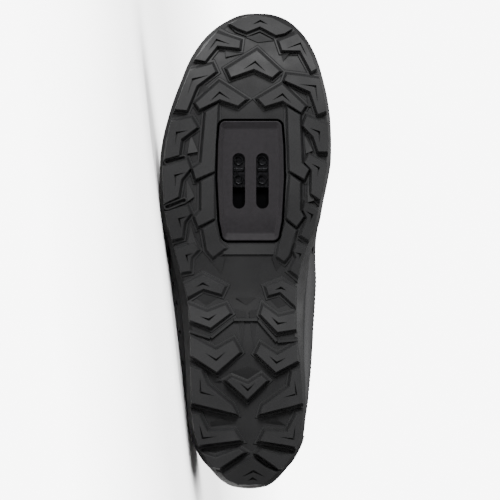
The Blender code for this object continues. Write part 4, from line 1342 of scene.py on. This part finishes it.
def from_middle(u):
    """Share out from the middle line, and the side that it is on."""
    around = 2 * u - 1
    return abs(around), 1 if around >= 0 else -1


def patch_edge(spec, share):
    """Station and height of a patch's upper edge, at a share out from its middle."""
    start, end, low, high = spec
    return part_way(end, start, share), part_way(low, high, 1 - share**2)


def make_lining():
    """Padded knit lining inside the ankle, rolled in from the collar's edge."""

    def place(u, v):
        share, side = from_middle(u)
        swell = LINING_SWELL * math.sin(math.pi * min(v * 1.6, 1.0)) ** 0.8
        return on_upper(share * LINING_END, side, UNDER_EDGE - LINING_DEPTH * v, -WALL - 0.35 - swell)

    return sheet("collar_lining", 130, 26, place, LINING_SHEET)


def make_patch(name, spec):
    """Moulded patch cut from the upper's own surface across toe or heel."""

    def place(u, v):
        share, side = from_middle(u)
        s, top = patch_edge(spec, share)
        return on_upper(s, side, top * v, GAP + SHEET / 2)

    return sheet(name, 90, 18, place, SHEET, 0.4, 3)


def bridge(first, first_run, last, last_run, t):
    """Curve that leaves one side and meets the other along their own runs."""
    pull = (last - first).length * 0.34
    return curve(first, first + first_run.normalized() * pull, last + last_run.normalized() * pull, last, t)


def over_throat(station, medial_end, lateral_end, off, share, top=1.0):
    """Point on a line from the medial wall over the throat to the lateral wall."""
    if share < THROAT_SIDE:
        return on_upper(station, -1, part_way(medial_end, top, share / THROAT_SIDE), off)
    if share > 1 - THROAT_SIDE:
        return on_upper(station, 1, part_way(lateral_end, top, (1 - share) / THROAT_SIDE), off)
    medial, before = on_upper(station, -1, top, off), on_upper(station, -1, top - 0.04, off)
    lateral, after = on_upper(station, 1, top, off), on_upper(station, 1, top - 0.04, off)
    across = (share - THROAT_SIDE) / (1 - 2 * THROAT_SIDE)
    return bridge(medial, medial - before, lateral, lateral - after, across)


def make_strap(row):
    """Closing strap of webbing, lying over the throat."""
    name, start, end, medial_end, lateral_end = row

    def place(u, v):
        s = part_way(start, end, v)
        return over_throat(s, medial_end, lateral_end, GAP + STRAP_THICKNESS / 2, u)

    return sheet(name + "_webbing", 84, 14, place, STRAP_THICKNESS, 0.5, 3)


def make_tab(row):
    """Sewn end tab of a strap, on the lateral side."""
    name, start, end, medial_end, lateral_end = row

    def place(u, v):
        s = part_way(start, end, 0.10 + 0.80 * v)
        share = 0.985 - 0.15 * u - 0.02 * (2 * v - 1) ** 2
        return over_throat(s, medial_end, lateral_end, GAP + STRAP_THICKNESS + 0.3, share)

    return sheet(name + "_tab", 20, 12, place, TAB, 0.2)


def make_tongue():
    """Padded tongue: quilted in rows, free above the instep."""
    near = -(WALL + GAP + 0.35)

    def base(u, k, off):
        s = part_way(TONGUE_FIRST, TONGUE_LAST, k)
        reach = 0.86 - 0.07 * math.sin(math.pi * k) + 0.09 * k
        return over_throat(s, reach, reach, off, u, top=UNDER_EDGE)

    def place(u, v):
        ribs = abs(math.sin(math.pi * v * TONGUE_ROWS))
        rim = min(1.0, 9 * min(u, 1 - u))
        off = near - TONGUE_THICKNESS / 2 - QUILT_DEPTH * (1 - ribs**0.5) * rim
        if v <= TONGUE_HELD:
            return base(u, v / TONGUE_HELD, off)
        free = (v - TONGUE_HELD) / (1 - TONGUE_HELD)
        p = base(u, 1.0, off)
        middle = 1 - abs(2 * u - 1) ** 2.5
        axis = foot_axis(p.y)
        x = axis + (p.x - axis) * (1 - 0.16 * free)
        return (x, p.y - (6 + 9 * middle) * free, p.z + (6 + 17 * middle) * free)

    return sheet("tongue_pad", 44, 80, place, TONGUE_THICKNESS - 0.9, 1.3, 4)


def make_insole():
    """Foam insole with a raised, rounded rim."""

    def place(u, v):
        s = INSOLE_END + (1 - 2 * INSOLE_END) * v
        edge = WALL + GAP + 0.45 + (0.6 if s < 0.1 or s > 0.9 else 0.0)
        left, right = (wall_point(s, side, 0.0) - outline_normal(s, side) * edge for side in (-1, 1))
        p = part_way(left, right, u)
        lift = 0.4 * abs(2 * u - 1) ** 6
        return (p.x, p.y, top_z(p.y) + GAP + INSOLE_THICKNESS / 2 + lift)

    return sheet("insole_sheet", 30, 90, place, INSOLE_THICKNESS, 0.7, 3)


def stitches(name, lines):
    """Rows of sewn stitches: one small rounded bar, copied along each line of (point, normal) pairs."""
    deselect()
    bpy.ops.mesh.primitive_cube_add(size=1)
    seed = applied(bpy.context.active_object, "BEVEL", width=0.28, segments=1)
    points = [v.co.copy() for v in seed.data.vertices]
    faces = [tuple(f.vertices) for f in seed.data.polygons]
    bpy.data.objects.remove(seed)
    verts, polys = [], []

    def sew(centre, run, normal):
        first = len(verts)
        sizes = (run * STITCH_LENGTH, normal.cross(run).normalized() * STITCH_THICKNESS * 1.5)
        for p in points:
            bar = sizes[0] * p.x + sizes[1] * p.y + normal * p.z * STITCH_THICKNESS
            verts.append(POSE @ (centre + bar))
        polys.extend(tuple(first + i for i in f) for f in faces)

    for line in lines:
        walked = 0.0
        for (a, na), (b, nb) in zip(line, line[1:]):
            reach = (b - a).length
            while walked < reach:
                share = walked / reach
                sew(a.lerp(b, share), (b - a).normalized(), na.lerp(nb, share).normalized())
                walked += STITCH_PITCH
            walked -= reach
    mesh = bpy.data.meshes.new(name)
    mesh.from_pydata(verts, [], polys)
    obj = bpy.data.objects.new(name, mesh)
    bpy.context.scene.collection.objects.link(obj)
    return obj


def wall_line(points, off):
    """Stitch line over the upper from (station, side, up) marks."""
    return [(on_upper(s, side, up, off), wall_normal(s, side, up)) for s, side, up in points]


def even_steps(first, last):
    """Values of a stitch line from one to another, both included."""
    return [part_way(first, last, k / SEAM_STEPS) for k in range(SEAM_STEPS + 1)]


def seam_lines():
    """Where the upper and its patches are sewn."""
    lines = []
    for spec in (TOE_CAP, HEEL_COUNTER):
        marks = []
        for k in range(-SEAM_STEPS, SEAM_STEPS + 1):
            s, top = patch_edge(spec, abs(k) / SEAM_STEPS)
            marks.append((s, 1 if k >= 0 else -1, top - 0.025))
        lines.append(wall_line(marks, GAP + SHEET + 0.05))
    for _, side, first, last, low, high in PANELS:
        for edge, into in ((low, 0.018), (high, -0.018)):
            marks = [(part_way(first, last, t), side, bent(edge, t) + into) for t in even_steps(0.02, 0.98)]
            lines.append(wall_line(marks, PANEL + 0.1))
    for side in (-1, 1):
        for first, last, up, off in EDGE_SEAMS:
            lines.append(wall_line([(s, side, up) for s in even_steps(first, last)], off))
    return lines


def strap_lines():
    """Two stitch lines along each strap."""
    lines = []
    for _, start, end, *ends in STRAPS:
        for v in (0.12, 0.88):
            s = part_way(start, end, v)
            line = []
            for u in even_steps(0.02, 0.98):
                p, q = (over_throat(s, *ends, GAP + STRAP_THICKNESS + rise, u) for rise in (0.05, 1.05))
                line.append((p, (q - p).normalized()))
            lines.append(line)
    return lines


def make_facing():
    """Throat facing: the sewn reinforcement on both sides of the throat and round its front."""

    def place(u, v):
        share, side = from_middle(u)
        up = part_way(FACING_LOW, UNDER_EDGE, v)
        return on_upper(1.0 - share * FACING_END, side, up, 0.15 + FACING / 2)

    return sheet("throat_facing", 160, 12, place, FACING, 0.25)


def make_stage():
    """Round sheet of pale paper that fades out towards its rim."""
    deselect()
    bpy.ops.mesh.primitive_circle_add(vertices=96, radius=1.5, fill_type="TRIFAN")
    floor = bpy.context.active_object
    floor.name = "paper_floor"
    material, tree, shader = finish_of("pale_paper", (0.93, 0.93, 0.93), 0.9, Specular_IOR_Level=0.1)
    reach = node(tree, "VectorMath", Vector=place_of(tree))
    reach.operation = "LENGTH"
    feed(tree, shader.inputs["Alpha"], span(tree, reach.outputs["Value"], 0.25, 1.0, 1.0, 0.0))
    floor.data.materials.append(material)


def area_light(name, place, aim, size, power):
    light = bpy.data.lights.new(name, "AREA")
    light.shape = "SQUARE"
    light.size = size
    light.energy = power
    obj = bpy.data.objects.new(name, light)
    bpy.context.scene.collection.objects.link(obj)
    obj.location = place
    obj.rotation_euler = (Vector(aim) - Vector(place)).to_track_quat("-Z", "Y").to_euler()
    obj.visible_camera = False


def make_world(fill, seen):
    """Pale surroundings: bright where they are seen, low where they light the shoe."""
    world = bpy.data.worlds.new("studio")
    world.use_nodes = True
    tree = world.node_tree
    low = tree.nodes["Background"]
    low.inputs["Color"].default_value = (1.0, 1.0, 1.0, 1.0)
    low.inputs["Strength"].default_value = fill
    pale = node(tree, "Background", Strength=seen)
    mix = node(tree, "MixShader", Fac=node(tree, "LightPath").outputs["Is Camera Ray"])
    tree.links.new(low.outputs[0], mix.inputs[1])
    tree.links.new(pale.outputs[0], mix.inputs[2])
    tree.links.new(mix.outputs[0], tree.nodes["World Output"].inputs["Surface"])
    bpy.context.scene.world = world


def make_light():
    make_world(fill=0.2, seen=10.0)
    area_light("toe_softbox", place=(-0.85, -1.0, 0.35), aim=(0.0, 0.0, 0.05), size=0.42, power=88)
    area_light("top_softbox", place=(0.0, 0.15, 1.6), aim=(0.0, 0.0, 0.0), size=1.8, power=112)


def make_camera():
    """Square to the sole, as far off as a long lens stands, rolled so that the toe is up."""
    camera = bpy.data.cameras.new("camera")
    camera.sensor_width = 36.0
    distance = 5.0
    seen = 0.2985
    camera.lens = camera.sensor_width * distance / seen
    obj = bpy.data.objects.new("camera", camera)
    bpy.context.scene.collection.objects.link(obj)
    turn = POSE.to_3x3().normalized()
    centre = POSE @ Vector((-1.5, 142.5, 2.0))
    back = turn @ Vector((0, 0, -1))
    up = turn @ Vector((0, 1, 0))
    right = up.cross(back)
    pose = Matrix((right, up, back)).transposed().to_4x4()
    pose.translation = centre + back * distance
    obj.matrix_world = pose
    bpy.context.scene.camera = obj


def finished(obj, angle, material, slot, *nodes):
    """A dressed piece, smooth up to an angle in degrees."""
    return smooth(dressed(obj, material, slot, *nodes), angle)


def main():
    make_stage()
    make_light()
    make_camera()
    body = finished(make_sole_body(), 38, RUBBER, "rubber", "outsole")
    # The window's walls round the tray's joint get near-black painted shade.
    paint_shade_where(body, PAINTED_SHADE_BLACK, in_window_wall)
    finished(make_lugs(), 30, LIT_LUG_RUBBER, "rubber", "outsole")
    finished(make_relief(), 10, RUBBER, "rubber", "outsole")
    tray = finished(make_tray(), 40, PLATE, "plate", "cleat_plate")
    # The tray's upright walls, round its rim and in its slots, get near-black painted shade.
    paint_shade_where(tray, PAINTED_SHADE_BLACK, lambda place, facing: abs(facing.z) < 0.3)
    finished(make_nut(), 40, STEEL, "steel", "cleat_nut")
    finished(make_shell(), 60, SHELL, "upper", "upper")
    finished(make_lining(), 60, LINING, "upper", "upper")
    for row in PANELS:
        finished(make_panel(row), 50, PANEL_SKIN, "upper", "upper")
    finished(make_facing(), 50, PANEL_SKIN, "upper", "upper")
    finished(make_patch("toe_guard", TOE_CAP), 50, GUARD, "guard", "toe_cap")
    finished(make_patch("heel_guard", HEEL_COUNTER), 50, GUARD, "guard", "heel_counter")
    for row in STRAPS:
        finished(make_strap(row), 50, STRAP_CLOTH, "strap", row[0])
        finished(make_tab(row), 50, PANEL_SKIN, "strap", row[0])
    tongue = finished(make_tongue(), 60, TONGUE_CLOTH, "padding", "tongue")
    insole = finished(make_insole(), 60, FOAM, "foam", "insole")
    # The insole's underside, seen through the slots, gets near-black painted shade.
    paint_shade_where(insole, PAINTED_SHADE_BLACK, lambda place, facing: facing.z < -0.5)
    dressed(stitches("seam_stitches", seam_lines()), THREAD, "upper")
    dressed(stitches("strap_stitches", strap_lines()), THREAD, "strap")


main()
deselect()
